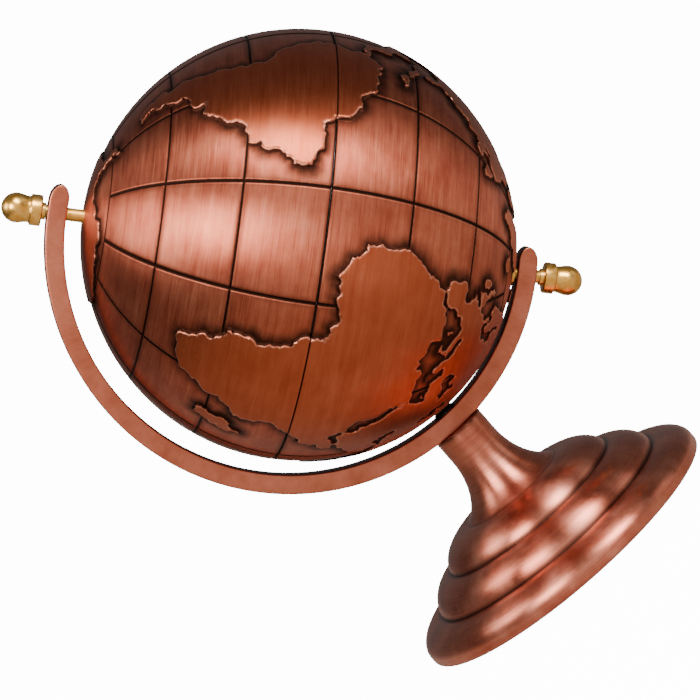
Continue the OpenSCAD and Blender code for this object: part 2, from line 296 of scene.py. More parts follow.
# coastlines, as longitude and latitude in degrees
coasts = {
    "africaAndEurasia": [
        (-6, 35.8), (-2, 35.1), (1.5, 36.5), (6, 37), (10, 37.3), (11, 36.8), (10.6, 35.5), (10.1, 34),
        (12.5, 33), (15.3, 32.3), (15.7, 31.4), (19, 30.3), (20.1, 31), (20.1, 32.2), (22, 32.9),
        (25, 31.7), (29, 30.9), (31, 31.5), (32.6, 31.1), (34.2, 31.3), (35, 32.8), (35.9, 35),
        (36, 36.7), (34, 36.3), (32.5, 36.1), (30.6, 36.8), (28, 36.7), (27, 38.3), (26.2, 39.5),
        (26.9, 40.3), (26, 40.8), (24, 40.8), (22.8, 40.4), (23, 39.3), (24, 38), (23, 36.5),
        (21.7, 36.8), (21, 38.3), (19.5, 40), (19.4, 41.9), (16.5, 43.3), (14, 45), (13.6, 45.6),
        (12.3, 45.2), (12.5, 44), (14, 42.6), (16, 41.8), (18.5, 40.1), (17, 40.5), (17, 39),
        (15.9, 38), (15.7, 39.9), (14, 40.8), (12, 42), (10.4, 43.5), (8.8, 44.4), (7, 43.6),
        (4.5, 43.4), (3.1, 42.9), (3.2, 41.8), (0.9, 41), (-0.3, 39.5), (0, 38.7), (-0.8, 37.6),
        (-2.2, 36.7), (-4.5, 36.7), (-5.6, 36.3), (-6.4, 36.7), (-8.9, 37), (-9.4, 38.7), (-8.8, 41),
        (-9.2, 43.1), (-7.7, 43.7), (-2, 43.4), (-1.2, 44.7), (-1.2, 46), (-2.5, 47.3), (-4.6, 48.1),
        (-1.6, 48.7), (-1.8, 49.7), (0.2, 49.6), (1.7, 50.9), (3.8, 51.7), (4.8, 53), (8, 53.7),
        (8.7, 54), (8.2, 55.6), (8.3, 57), (10.5, 57.7), (10.3, 56.3), (9.8, 54.8), (11, 54.1),
        (14, 54), (18.5, 54.7), (20, 54.7), (21, 57), (23.5, 57.2), (23.6, 59), (28, 59.7), (30, 60),
        (25, 60.2), (22.8, 59.9), (21.4, 61), (21.3, 62.9), (25, 65), (22.3, 65.8), (21.2, 64.5),
        (17.7, 62), (17, 60.7), (18.8, 59.9), (16.6, 57.5), (16, 56.2), (14.3, 55.5), (12.8, 55.6),
        (11.2, 59), (10.5, 59.5), (8, 58.1), (5.6, 58.9), (5, 61), (7, 63), (11, 64.8), (14, 67.5),
        (18, 69.5), (23, 70.5), (28, 71), (31, 70.3), (33, 69.4), (41, 67.7), (40, 66.3), (34, 66.7),
        (37, 64.5), (40, 64.7), (42, 66.4), (44, 68.5), (46, 68), (54, 68.6), (60, 69), (68, 68.5),
        (67, 70), (69, 73), (73, 72.5), (73, 68), (75, 72), (80, 73), (87, 75), (98, 76), (104, 77.6),
        (113, 76), (113, 73.7), (127, 73.5), (130, 71), (140, 72.6), (150, 71.2), (160, 69.7),
        (170, 69.5), (180, 69), (190, 66.2), (183, 65), (179, 62.5), (170, 60), (163, 59), (162, 56),
        (158, 51.5), (156, 55), (157, 58), (163, 61.5), (160, 61.5), (155, 59.3), (143, 59.3),
        (135.5, 54.8), (140.5, 53), (140.5, 50), (138, 46.5), (133, 43), (130, 42.3), (127.5, 39.5),
        (129.3, 37), (129, 35.2), (126.5, 34.5), (126.7, 37), (125, 39.5), (121.5, 39), (122, 40.7),
        (118, 39), (119, 37.3), (122.4, 37), (119.3, 35), (121.8, 31.8), (121.5, 29), (119.5, 25.7),
        (117, 23.4), (113.5, 22.2), (110, 21), (108, 21.6), (106, 19.5), (107.5, 17), (109.2, 13.5),
        (109, 11.5), (106.7, 10.5), (105, 8.7), (104.8, 10.5), (102.5, 12), (101, 13.4), (100, 13.3),
        (99.3, 10), (100.6, 7.2), (103.4, 4.5), (104, 1.4), (101.5, 2.8), (100.3, 6), (98.3, 8.2),
        (98.7, 12), (97.7, 16.2), (95, 16), (94.3, 18.5), (92.3, 21), (90.5, 22.5), (87, 21.4),
        (85, 19.5), (82, 16.6), (80.3, 15.5), (80.2, 13), (79.8, 10.3), (78.2, 8.9), (77.5, 8.1),
        (76.3, 10), (74.6, 14), (73, 17.5), (72.8, 21), (70.3, 21), (69, 22.3), (70.4, 22.9),
        (67.4, 23.9), (66.6, 25.3), (61.5, 25.1), (57.3, 25.7), (56.8, 27.1), (54.5, 26.6),
        (51.5, 27.9), (50, 30.1), (48, 30), (48.6, 28), (50.2, 26.5), (50.8, 24.8), (51.6, 25.9),
        (51.6, 24.2), (54.3, 24.1), (56.3, 26), (56.6, 24.5), (59.8, 22.5), (57.7, 19.5), (55, 17),
        (52, 15.6), (48, 14), (45, 12.9), (43.8, 12.9), (42.9, 16.4), (39.5, 21.3), (37.5, 24.9),
        (35, 28), (35, 29.5), (34.3, 27.8), (32.8, 29.9), (33.4, 27.7), (35.2, 24), (36.9, 21),
        (37.1, 18.8), (39.3, 15.5), (42.8, 12.4), (43.2, 11.5), (44.5, 10.5), (51.2, 11.9), (50.8, 9.5),
        (48, 4.5), (44, 1), (41.5, -1.8), (39.2, -4.7), (39.5, -7), (40.5, -10.5), (40.8, -14.8),
        (37, -17.8), (34.8, -19.9), (35.5, -22), (35.3, -24), (32.8, -25.7), (32.8, -28), (31, -30.3),
        (28, -33), (25.7, -34), (22, -34), (20, -34.8), (18.4, -34.1), (18, -32.5), (17, -29.5),
        (15.2, -27), (14.5, -23), (12, -18), (12.4, -14.5), (13.7, -11), (12.3, -6), (9.6, -2.5),
        (8.8, -0.7), (9.6, 1), (9.7, 3.8), (8.5, 4.6), (6, 4.3), (4.5, 6.3), (1, 6), (-2, 4.8),
        (-4.5, 5.2), (-7.6, 4.4), (-9.5, 5.7), (-11.5, 6.9), (-13.3, 8.6), (-13.7, 9.6), (-15.3, 11),
        (-16.8, 12.4), (-17.4, 14.7), (-16.3, 17), (-16.3, 19.5), (-17, 21), (-16, 23.7), (-14.5, 26.2),
        (-12.8, 27.9), (-9.8, 29.8), (-9.6, 31.5), (-8, 33.2), (-6.8, 34.1)],
    "blackSea": [
        (28, 43.5), (29, 41.4), (31.5, 41.2), (35, 42), (38, 41), (41.5, 41.6), (39, 44), (37.5, 45),
        (38.5, 47), (35, 46.2), (35.5, 45.2), (33.5, 44.5), (32.7, 45.8), (30.5, 46.2), (28.7, 44.5)],
    "caspianSea": [
        (47, 45), (47.5, 43), (49.5, 40.5), (49, 38), (52, 36.8), (54, 37.3), (53, 40), (54.5, 41.5),
        (51, 44.5), (53, 45.3), (53, 46.8), (49, 46.3)],
    "americas": [
        (-168, 65.6), (-162, 66.5), (-166, 68.3), (-157, 71.2), (-141, 69.7), (-128, 70.2),
        (-115, 68.3), (-108, 68), (-95, 68.2), (-94, 71.8), (-88, 68.5), (-82, 69.7), (-82, 67),
        (-87, 64.5), (-94, 61), (-94.5, 58.8), (-92, 57), (-82.5, 55.2), (-82, 53), (-80, 51.3),
        (-79, 53), (-76.7, 56.5), (-78, 59), (-77.5, 62.4), (-73, 62), (-69.5, 60.8), (-69.5, 58.8),
        (-65, 60.2), (-61.5, 56.5), (-56, 52.5), (-60, 50.2), (-66.5, 50.2), (-70, 47.2), (-65, 49),
        (-64.8, 47), (-61, 45.8), (-65.5, 43.6), (-66.5, 45), (-70, 43.6), (-70, 41.7), (-74, 40.6),
        (-75.4, 38), (-76, 36.8), (-75.6, 35.3), (-78.5, 33.8), (-81.2, 31.5), (-81.4, 30), (-80, 27),
        (-80.5, 25.2), (-81.8, 26), (-82.8, 28.5), (-84.2, 30), (-88, 30.3), (-90.5, 29.2),
        (-94.5, 29.5), (-97.3, 27.5), (-97.6, 24), (-97.2, 21), (-95.8, 18.8), (-94, 18.2),
        (-91.5, 18.6), (-90.4, 21), (-87, 21.5), (-87.8, 18.3), (-88.7, 15.9), (-84, 15.8), (-83.3, 14),
        (-83.7, 11), (-82, 9), (-79.7, 9.6), (-77.3, 8.6), (-76.5, 8.7), (-75.3, 10.7), (-72, 12),
        (-71.5, 10.8), (-70, 12), (-68, 10.6), (-64, 10.3), (-61.8, 10.7), (-60, 8.5), (-57, 6),
        (-52, 4.8), (-50, 1.5), (-49.5, -0.5), (-44.5, -2.6), (-40, -2.8), (-37, -4.8), (-35.3, -5.5),
        (-34.8, -8), (-37, -11), (-39, -13.5), (-39, -17.5), (-41, -22), (-44.5, -23), (-48.3, -26),
        (-48.8, -28.5), (-52, -33), (-54.5, -34.8), (-58.2, -34), (-57, -36.3), (-58, -38.2),
        (-62, -39), (-65, -41), (-63.7, -42.5), (-65.5, -45), (-67.5, -46.5), (-65.8, -47.8),
        (-69, -50.5), (-68.4, -52.5), (-65.2, -54.8), (-69, -55.4), (-74, -52.5), (-75.5, -48),
        (-73, -44), (-73.7, -39.5), (-73.2, -37), (-71.6, -33), (-71.4, -29), (-70.3, -24),
        (-70.2, -18.5), (-75.5, -15.2), (-77.5, -11.5), (-79.8, -7), (-81.3, -5), (-80.3, -3.4),
        (-81, -2), (-80, 0.8), (-77.3, 3.9), (-77.8, 7.2), (-79.5, 8.5), (-80.5, 7.4), (-83, 8.3),
        (-85.7, 10), (-87.6, 12.9), (-92.5, 14.5), (-95, 16), (-99.5, 16.7), (-105.5, 20.3),
        (-105.7, 22.5), (-109.4, 26), (-113, 31), (-114.7, 31.6), (-111, 26), (-109.5, 23.2),
        (-112.2, 25), (-115, 28), (-117, 32.5), (-120.6, 34.6), (-122.5, 37.5), (-124.2, 40.5),
        (-124, 46), (-123, 49), (-128, 51), (-131, 55), (-137, 58.6), (-145, 60.2), (-152, 59.3),
        (-156, 57.5), (-163, 55), (-158, 58.6), (-162, 59), (-165, 61.5), (-161, 64.2), (-166, 64.5)],
    "greenland": [
        (-73, 78.2), (-60, 82), (-30, 83.5), (-20, 81.5), (-18, 77), (-20, 73), (-24, 70.5), (-32, 68),
        (-40, 65), (-43, 60), (-48, 61), (-52, 65), (-53.5, 69), (-55, 71.5), (-59, 75.5), (-68, 76)],
    "baffinIsland": [
        (-80, 73.7), (-72, 71), (-62, 66.5), (-66, 62), (-72, 65), (-73, 68), (-82, 70.6), (-89, 71.8),
        (-89, 73.5)],
    "ellesmereIsland": [(-90, 76.5), (-80, 76.3), (-62, 82.3), (-75, 83), (-92, 81), (-87, 78.5)],
    "victoriaIsland": [(-117, 73), (-105, 73), (-101, 69.5), (-116, 69.6)],
    "newfoundland": [(-59.3, 47.7), (-57, 51.2), (-53, 47.5), (-55.8, 46.9)],
    "cuba": [
        (-84.8, 22), (-81, 23.1), (-77, 21.5), (-74.3, 20.2), (-77.5, 19.9), (-78.5, 21.2),
        (-82, 22.4)],
    "hispaniola": [(-74, 19.8), (-70, 19.7), (-68.5, 18.5), (-71.5, 17.8), (-74.2, 18.4)],
    "madagascar": [
        (49.3, -12), (50.4, -15.7), (48, -22), (46.8, -25.2), (44, -25), (43.3, -22), (44.4, -19.8),
        (44.4, -16.3), (47, -15.3)],
    "greatBritain": [
        (-5.5, 50.1), (-3, 50.6), (1.3, 51.2), (1.6, 52.8), (0, 53.2), (-1.5, 55), (-3.2, 56),
        (-1.9, 57.5), (-3.5, 58.6), (-5.5, 57.5), (-5, 55.5), (-3, 54.5), (-3.2, 53.4), (-4.6, 53),
        (-4.3, 52.2), (-5.2, 51.8), (-3, 51.4)],
    "ireland": [(-6.3, 52.2), (-6, 54), (-7.5, 55.3), (-10, 54.2), (-10.2, 52), (-8.5, 51.7)],
    "iceland": [
        (-22.5, 64), (-18.7, 63.4), (-14.5, 64.5), (-15, 66.3), (-20, 66), (-22.5, 66.4), (-24, 65.5)],
    "svalbard": [(11, 79.5), (20, 80.5), (27, 80), (17, 76.7)],
    "novayaZemlya": [(51.5, 71.5), (55, 74.8), (68, 77), (69, 76.3), (58, 73), (57, 70.6)],
    "honshu": [
        (131, 34), (133, 35.5), (136.5, 37), (138.5, 37.5), (140, 40), (141, 41.4), (142, 39.5),
        (140.8, 35.7), (138, 34.6), (135.8, 33.5), (133, 34.3)],
    "hokkaido": [(140, 42), (141.5, 45.4), (145.4, 43.3), (143.2, 42)],
    "kyushu": [(130, 33.3), (131.7, 33.5), (131.3, 31.4), (130.2, 31.2)],
    "sakhalin": [(142, 54.3), (143.2, 52), (143, 49), (143.5, 46.3), (142, 46), (142, 50)],
    "taiwan": [(121.5, 25.2), (121, 22), (120.1, 23.3)],
    "luzon": [(120.5, 18.5), (122.2, 18.4), (121.7, 15), (124, 12.8), (120.8, 13.8), (120, 16)],
    "mindanao": [(122, 7), (123.5, 8.6), (125.5, 9.7), (126.5, 7.5), (125.3, 5.7), (124, 7.3)],
    "borneo": [
        (109, 1.5), (111.3, 2.5), (113.5, 3.8), (116.8, 7), (119, 5.2), (117.6, 1), (116.4, -3.9),
        (114.5, -4), (110.2, -2.8)],
    "sumatra": [
        (95.3, 5.6), (98.5, 3.8), (103.5, -0.8), (106, -3), (105.8, -5.8), (102.3, -4), (98.7, 1.7)],
    "java": [(105.2, -6.8), (108.6, -6.7), (114.4, -7.7), (114.4, -8.7), (108, -7.8)],
    "sulawesi": [
        (120, 0.8), (125, 1.6), (121, 0.4), (123.2, -1), (121.5, -2), (122.8, -4.5), (121, -2.8),
        (120.4, -5.5), (119.4, -3.5)],
    "newGuinea": [
        (131, -0.8), (134, -0.8), (135, -3.3), (138, -1.6), (141, -2.6), (145.8, -5.3), (147.8, -6.3),
        (150.7, -10.5), (147, -9.5), (143.5, -8.5), (141, -9.1), (138, -8.3), (138, -5.5), (133, -4),
        (132.7, -2.8)],
    "australia": [
        (114.2, -22), (113.4, -26), (115, -30), (115, -34.3), (118, -35), (123.5, -33.9), (129, -31.6),
        (132, -32), (135.6, -34.9), (138, -33), (138.2, -35.5), (140, -38), (143.5, -38.8),
        (146.4, -39), (150, -37.5), (151.3, -33.5), (153, -30.5), (153.2, -26), (150.8, -23.3),
        (146.3, -18.9), (145.4, -15), (142.5, -10.8), (141.6, -13.5), (140.8, -17.5), (137, -15.8),
        (135.7, -12.2), (132, -11.3), (129.7, -14.8), (126.8, -14), (122.2, -17.5), (119, -20)],
    "tasmania": [(144.8, -40.8), (148.3, -40.9), (147.5, -43.5), (146, -43.4)],
    "newZealandNorth": [
        (172.8, -34.5), (175, -36.8), (178.3, -37.7), (177, -39.6), (175.2, -41.5), (173.8, -39.3),
        (174.8, -37.8)],
    "newZealandSouth": [
        (172.7, -40.6), (174.2, -41.6), (172.8, -43.7), (170.7, -45.9), (168.4, -46.5), (166.6, -45.8),
        (169, -43.8), (171.5, -42)],
    "sriLanka": [(80, 9.6), (81.8, 7.5), (80.6, 6), (79.9, 7.5)],
    "sicily": [(12.5, 37.9), (15.5, 38.2), (15.1, 36.8)],
    "sardinia": [(8.3, 39), (9.6, 39.3), (9.2, 41.1), (8.3, 40.8)],
    "crete": [(23.6, 35.3), (26.2, 35.2), (24.8, 34.9)],
    "cyprus": [(32.3, 34.9), (34.4, 35.6), (33.5, 34.7)],
}
antarctica = [
    (-180, -78.5), (-165, -78), (-150, -76.5), (-130, -74.5), (-110, -74.5), (-100, -72.5),
    (-80, -73.2), (-68, -71), (-66, -67.5), (-58, -63.3), (-62, -66), (-61, -71), (-60, -75),
    (-50, -78), (-35, -78.3), (-25, -75.5), (-12, -71.5), (0, -69.8), (20, -70), (35, -68.8),
    (48, -66.8), (57, -66.2), (70, -68.5), (74, -70), (80, -68), (95, -66.4), (110, -66), (120, -66.8),
    (135, -66), (145, -67), (160, -69.5), (170, -71.8), (165, -75), (165, -78), (180, -78.5)]

globe = {
    "landRadius": 63.8,        # raised land
    "seaRadius": 63.12,
    "innerRadius": 62.0,
    "frontLongitude": -11.57,  # the longitude that faces -Y
    "parallelStep": 22.5,
    "meridianStep": 30.0,
    "meridianEnd": 67.5,       # the meridians stop at the polar rings
    "grooveHalf": 0.46,        # half the width of an engraved line at its lip
    "grooveDepth": 0.5,
    "grooveFade": (0.2, 0.5),  # a line starts this far from a coast and takes this much to reach its depth
    "coastSink": 0.06,         # points on a coast lie a little low, which rounds the lip
    "coastReach": 9.0,         # coasts further off than this don't count
    "coastStep": 0.9,          # length of the shortest straight bit of coast
    "coastRough": 0.17,
    "coastChunk": 24,          # bits of coast measured at a time
    "snap": 0.30,              # grid points closer than this to a coast move onto it
    "seamHalfGap": 0.05,
    "seamLip": 0.2,            # height of the row after the rim
    "rimDrop": (0.35, 0.6),    # the rim's row lies this far below the land and below the sea
    "lipDrop": 0.35,           # and the next row this far below the sea
    "poleHole": 3.0,
    "poleFlat": 63.3,          # height of the small spot face round each pole
    "poleFlatRadius": 4.6,
    "columns": 60,             # grid columns in each sector at the equator
    "rowsPerBand": 43,         # grid rows between two engraved parallels
    "polarRow": 0.505,         # degrees between the rows inside the polar ring
    "rimRows": 3,              # rows at the rim and at the hole that stay where they are
    "holeRows": 4,
    "innerColumns": 6,
    "innerRows": 18,
    "innerEnds": (87, 5, 0.05),   # latitudes of the inside: by the hole, by the rim and at the rim
}
radiusOfMap = globe["landRadius"]
sectors = round(360 / globe["meridianStep"])


def mapPoint(longitude, latitude):
    # unit vector in the axle's frame: its Z is the south pole, and east turns clockwise seen from there
    turn = (np.asarray(longitude) - globe["frontLongitude"]) * degree
    turn, lat = np.broadcast_arrays(turn, np.asarray(latitude) * degree)
    return np.stack([-np.cos(lat) * np.sin(turn), -np.cos(lat) * np.cos(turn), -np.sin(lat)], -1)


def roughened(outline, seed, closed):
    # midpoint displacement: each pass halves every long stretch and pushes the middle sideways
    rng = np.random.default_rng(seed)
    points = np.array(outline, float)
    if closed:
        points = np.vstack([points, points[:1]])
    for _ in range(6):
        step = points[1:] - points[:-1]
        squeeze = np.cos((points[1:, 1] + points[:-1, 1]) / 2 * degree)
        length = np.hypot(step[:, 0] * squeeze, step[:, 1])
        middle = (points[1:] + points[:-1]) / 2
        push = rng.normal(0, 1, len(step)) * globe["coastRough"]
        middle[:, 0] += -step[:, 1] / np.maximum(squeeze, 0.15) * push
        middle[:, 1] += step[:, 0] * squeeze * push
        long = length * degree * radiusOfMap > globe["coastStep"] * 1.5
        points = np.insert(points, np.flatnonzero(long) + 1, middle[long], axis=0)
    return points


def insidePolygon(lon, lat, outline):
    # even-odd rule: count the edges crossed going east
    inside = np.zeros(len(lon), bool)
    x1, y1 = outline[:-1, 0], outline[:-1, 1]
    x2, y2 = outline[1:, 0], outline[1:, 1]
    box = (lat > y1.min()) & (lat < y1.max()) & (lon > x1.min()) & (lon < x1.max())
    place = np.flatnonzero(box)
    for part in np.array_split(place, max(1, len(place) // 4000)):
        px, py = lon[part, None], lat[part, None]
        cross = (y1 > py) != (y2 > py)
        with np.errstate(divide="ignore", invalid="ignore"):
            at = (x2 - x1) * (py - y1) / (y2 - y1) + x1
        inside[part] = (np.sum(cross & (px < at), 1) % 2).astype(bool)
    return inside


def coastLines(lon, lat):
    # every roughened coast, and which of the places are on land: seas inside land are switched off again
    land = np.zeros(len(lon), bool)
    lines = []
    for number, outline in enumerate(coasts.values()):
        line = roughened(outline, number + 11, True)
        lines.append(line)
        for wrap in (0, 360):
            land ^= insidePolygon(lon + wrap, lat, line)
    line = roughened(antarctica, 5, False)
    lines.append(line)
    ends = np.array([(line[-1, 0], -91), (line[0, 0], -91), (line[0, 0], line[0, 1])])
    land |= insidePolygon(lon, lat, np.vstack([line, ends]))
    return lines, land


def coastField(lon, lat):
    # signed distance to the nearest coast in millimetres, positive on land, and the nearest coast point:
    # the foot of the perpendicular on each straight bit, held between the bit's ends
    unit = mapPoint(lon, lat) * radiusOfMap
    best = np.full(len(lon), globe["coastReach"])
    near = unit.copy()
    lines, land = coastLines(lon, lat)
    for line in lines:
        curve = mapPoint(line[:, 0], line[:, 1]) * radiusOfMap
        for first in range(0, len(curve) - 1, globe["coastChunk"]):
            last = min(first + globe["coastChunk"], len(curve) - 1)
            a, b = curve[first:last], curve[first + 1:last + 1]
            middle = (a.mean(0) + b.mean(0)) / 2
            reach = np.linalg.norm(a - middle, axis=1).max() + globe["coastReach"] + 1
            part = np.flatnonzero(((unit - middle) ** 2).sum(1) < reach ** 2)
            if not len(part):
                continue
            p = unit[part, None, :]
            along = b - a
            t = np.clip(((p - a) * along).sum(-1) / np.maximum((along ** 2).sum(-1), 1e-9), 0, 1)
            foot = a + t[..., None] * along
            distance = np.sqrt(((p - foot) ** 2).sum(-1))
            which = distance.argmin(1)
            row = np.arange(len(part))
            closer = distance[row, which] < best[part]
            best[part[closer]] = distance[row, which][closer]
            near[part[closer]] = foot[row, which][closer]
    return np.where(land, best, -best), near


def ringLatitudes():
    # the rim, the rows of the seam's lip, then even rows with a narrow pair round each engraved parallel
    perMm = 1 / (radiusOfMap * degree)
    half = globe["grooveHalf"] * perMm
    step = globe["parallelStep"]
    rows = [globe["seamHalfGap"] * perMm, globe["seamLip"] * perMm, half]
    low = half
    for band in range(1, round(globe["meridianEnd"] / step) + 1):
        top = band * step
        rows += np.linspace(low, top - half, globe["rowsPerBand"] + 1)[1:].tolist()
        rows += [top, top + half]
        low = top + half
    hole = 90 - math.asin(globe["poleHole"] / radiusOfMap) / degree
    flat = 90 - math.asin(globe["poleFlatRadius"] / radiusOfMap) / degree
    count = round((flat - low) / globe["polarRow"])
    rows += np.linspace(low, flat, count + 1)[1:].tolist()
    rows += [flat + 0.15, (flat + hole) / 2, hole]
    return np.array(rows)


def sectorPlaces(latitude, count):
    # longitudes within one sector: the meridian itself, its lip, then even columns up to the next lip
    half = globe["grooveHalf"] / (radiusOfMap * degree * math.cos(latitude * degree))
    half = min(half, globe["meridianStep"] * 0.3)
    inner = np.linspace(half, globe["meridianStep"] - half, count - 1)
    return np.concatenate([[0], inner])


def ringLongitudes(latitudes, counts):
    # the longitudes of all rings, one after another, and each one's latitude
    starts = np.arange(sectors)[:, None] * globe["meridianStep"]
    lon = np.concatenate([
        (starts + sectorPlaces(lat, count)[None, :]).ravel() for lat, count in zip(latitudes, counts)])
    return lon, np.repeat(latitudes, counts * sectors)


def stitch(counts, starts, fine):
    # quads between neighbouring rings; a fine index picks a column on either ring, so rings of
    # different counts share it and some quads collapse
    f = np.arange(sectors * fine)
    sector, place = f // fine, f % fine
    corner = []
    for count, start in zip(counts, starts):
        inner = 1 + np.rint((place - 1) * (count - 2) / (fine - 2)).astype(int)
        corner.append(start + sector * count + np.where(place == 0, 0, inner))
    quads = []
    for r in range(len(counts)):
        a, d = corner[r], corner[(r + 1) % len(counts)]
        quads.append(np.stack([a, np.roll(a, -1), np.roll(d, -1), d], -1))
    return np.concatenate(quads)


def splitQuads(quads, height):
    # cut each quad along the diagonal whose ends are nearer in height, so that cuts follow the coasts,
    # and drop the triangles that have collapsed
    a, b, c, d = quads.T
    across = np.abs(height[a] - height[c]) <= np.abs(height[b] - height[d]) + 1e-9
    one = np.where(across[:, None], np.stack([a, b, c], -1), np.stack([a, b, d], -1))
    two = np.where(across[:, None], np.stack([a, c, d], -1), np.stack([b, c, d], -1))
    triangles = np.concatenate([one, two])
    same = triangles == np.roll(triangles, -1, axis=1)
    return triangles[~same.any(1)]


def lineDistance(lon, lat):
    # millimetres to the nearest engraved parallel or meridian, the equator left out
    step, turn = globe["parallelStep"], globe["meridianStep"]
    nearest = np.clip(np.rint(np.abs(lat) / step), 1, round(globe["meridianEnd"] / step)) * step
    toParallel = np.abs(np.abs(lat) - nearest) * degree * radiusOfMap
    toMeridian = np.abs((lon + turn / 2) % turn - turn / 2) * degree * radiusOfMap * np.cos(lat * degree)
    toMeridian = np.where(np.abs(lat) > globe["meridianEnd"] + 0.1, 99, toMeridian)
    return np.minimum(toParallel, toMeridian)


def reliefRadius(distance, moved, toLine, row, rows, axial):
    # land or sea level, less the engraved line, the rounded coast and the bevel of the rim,
    # and cut flat where it is higher than the spot face round the pole
    land = distance >= 0
    radius = np.where(land, globe["landRadius"], globe["seaRadius"])
    radius = radius - np.where(moved, globe["coastSink"], 0)
    clear, length = globe["grooveFade"]
    fade = np.clip((-distance - clear) / length, 0, 1)
    radius = radius - globe["grooveDepth"] * (toLine < 0.1) * ~land * fade
    radius = radius - np.where(row == 0, np.where(land, *globe["rimDrop"]), 0)
    radius = radius - np.where((row == 1) & ~land, globe["lipDrop"], 0)
    capped = (axial * radius > globe["poleFlat"]) & (row >= rows - globe["holeRows"])
    return np.where(capped, globe["poleFlat"] / axial, radius)


def addMapLayers(piece, points, distance):
    # the distance to the coast on every point, and a plain longitude and latitude map for the brushing
    layer = piece.data.attributes.new("coastDistance", "FLOAT", "POINT")
    layer.data.foreach_set("value", distance.astype(np.float32))
    corners = np.zeros(len(piece.data.loops), np.int32)
    piece.data.loops.foreach_get("vertex_index", corners)
    unit = points / np.linalg.norm(points, axis=1)[:, None]
    turn = np.arctan2(-unit[:, 0], -unit[:, 1]) / (2 * math.pi) + 0.5
    rise = np.arcsin(np.clip(unit[:, 2], -1, 1)) / math.pi + 0.5
    u = turn[corners].reshape(-1, 3)
    u = np.where((u.max(1) - u.min(1) > 0.5)[:, None] & (u < 0.5), u + 1, u)
    uv = np.stack([u.ravel(), rise[corners]], -1)
    piece.data.uv_layers.new(name="latLong").data.foreach_set("uv", uv.ravel().astype(np.float32))


def halfShell(name, pole, material):
    # rings from the rim up to the pole's hole on the outside, then back down the plain inside
    outer = ringLatitudes()
    outerCounts = np.maximum(np.rint(globe["columns"] * np.cos(outer * degree)).astype(int), 4)
    outerCounts[outer <= 0.5] = globe["columns"]
    lon, lat = ringLongitudes(outer, outerCounts)
    lon, lat = (lon + 180) % 360 - 180, lat * pole
    row = np.repeat(np.arange(len(outer)), outerCounts * sectors)

    distance, near = coastField(lon, lat)
    point = mapPoint(lon, lat)
    moved = np.abs(distance) < globe["snap"]
    moved &= (row >= globe["rimRows"]) & (row < len(outer) - globe["holeRows"])
    point[moved] = near[moved] / np.linalg.norm(near[moved], axis=1)[:, None]
    distance[moved] = 0
    radius = reliefRadius(distance, moved, lineDistance(lon, lat), row, len(outer), np.abs(point[:, 2]))

    high, low, rim = globe["innerEnds"]
    inner = np.concatenate([np.linspace(high, low, globe["innerRows"]), [rim]])
    innerCounts = np.maximum(np.rint(globe["innerColumns"] * np.cos(inner * degree)).astype(int), 4)
    innerLon, innerLat = ringLongitudes(inner, innerCounts)
    innerPoints = mapPoint(innerLon, innerLat * pole) * globe["innerRadius"]

    counts = np.concatenate([outerCounts, innerCounts])
    starts = np.concatenate([[0], np.cumsum(counts * sectors)[:-1]])
    quads = stitch(counts, starts, globe["columns"])
    if pole < 0:
        quads = quads[:, ::-1]
    height = np.concatenate([radius, np.full(len(innerPoints), globe["innerRadius"])])
    triangles = splitQuads(quads, height)
    points = np.concatenate([point * radius[:, None], innerPoints])
    piece = buildMesh(name, points, triangles, material, True, axleMatrix)
    reach = globe["coastReach"]
    inside = np.full(len(innerPoints), -reach)
    addMapLayers(piece, points, np.concatenate([np.clip(distance, -reach, reach), inside]))
    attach(piece, "globe")
    print(name, len(triangles), "triangles")
    return piece


def placeOnMap(tree):
    # millimetres in the axle's frame, and from them the height over the equator along the surface in mm,
    # the cosine of the latitude and the longitude in radians
    place = addNode(tree, "ShaderNodeTexCoord")
    local = addNode(tree, "ShaderNodeMapping", {"vector_type": "TEXTURE"}, {
        "Vector": place.outputs["Object"], "Location": globeCentre * mm,
        "Rotation": (0, -axleTilt, 0), "Scale": (mm, mm, mm)})
    axes = addNode(tree, "ShaderNodeSeparateXYZ", None, {0: local.outputs[0]})
    length = addNode(tree, "ShaderNodeVectorMath", {"operation": "LENGTH"}, {0: local.outputs[0]})
    sine = addNode(tree, "ShaderNodeMath", {"operation": "DIVIDE"}, {
        0: axes.outputs["Z"], 1: length.outputs["Value"]})
    latitude = addNode(tree, "ShaderNodeMath", {"operation": "ARCSINE"}, {0: sine.outputs[0]})
    cosine = addNode(tree, "ShaderNodeMath", {"operation": "COSINE"}, {0: latitude.outputs[0]})
    rise = addNode(tree, "ShaderNodeMath", {"operation": "MULTIPLY"}, {
        0: latitude.outputs[0], 1: radiusOfMap})
    turn = addNode(tree, "ShaderNodeMath", {"operation": "ARCTAN2"}, {
        0: axes.outputs["X"], 1: axes.outputs["Y"]})
    longitude = addNode(tree, "ShaderNodeMath", {"operation": "ADD"}, {
        0: turn.outputs[0], 1: globe["frontLongitude"] * degree})
    streak = addNode(tree, "ShaderNodeCombineXYZ", None, {
        0: axes.outputs["X"], 1: axes.outputs["Y"], 2: rise.outputs[0]})
    return {"local": local.outputs[0], "streak": streak.outputs[0], "rise": rise.outputs[0],
            "cosine": cosine.outputs[0], "longitude": longitude.outputs[0]}


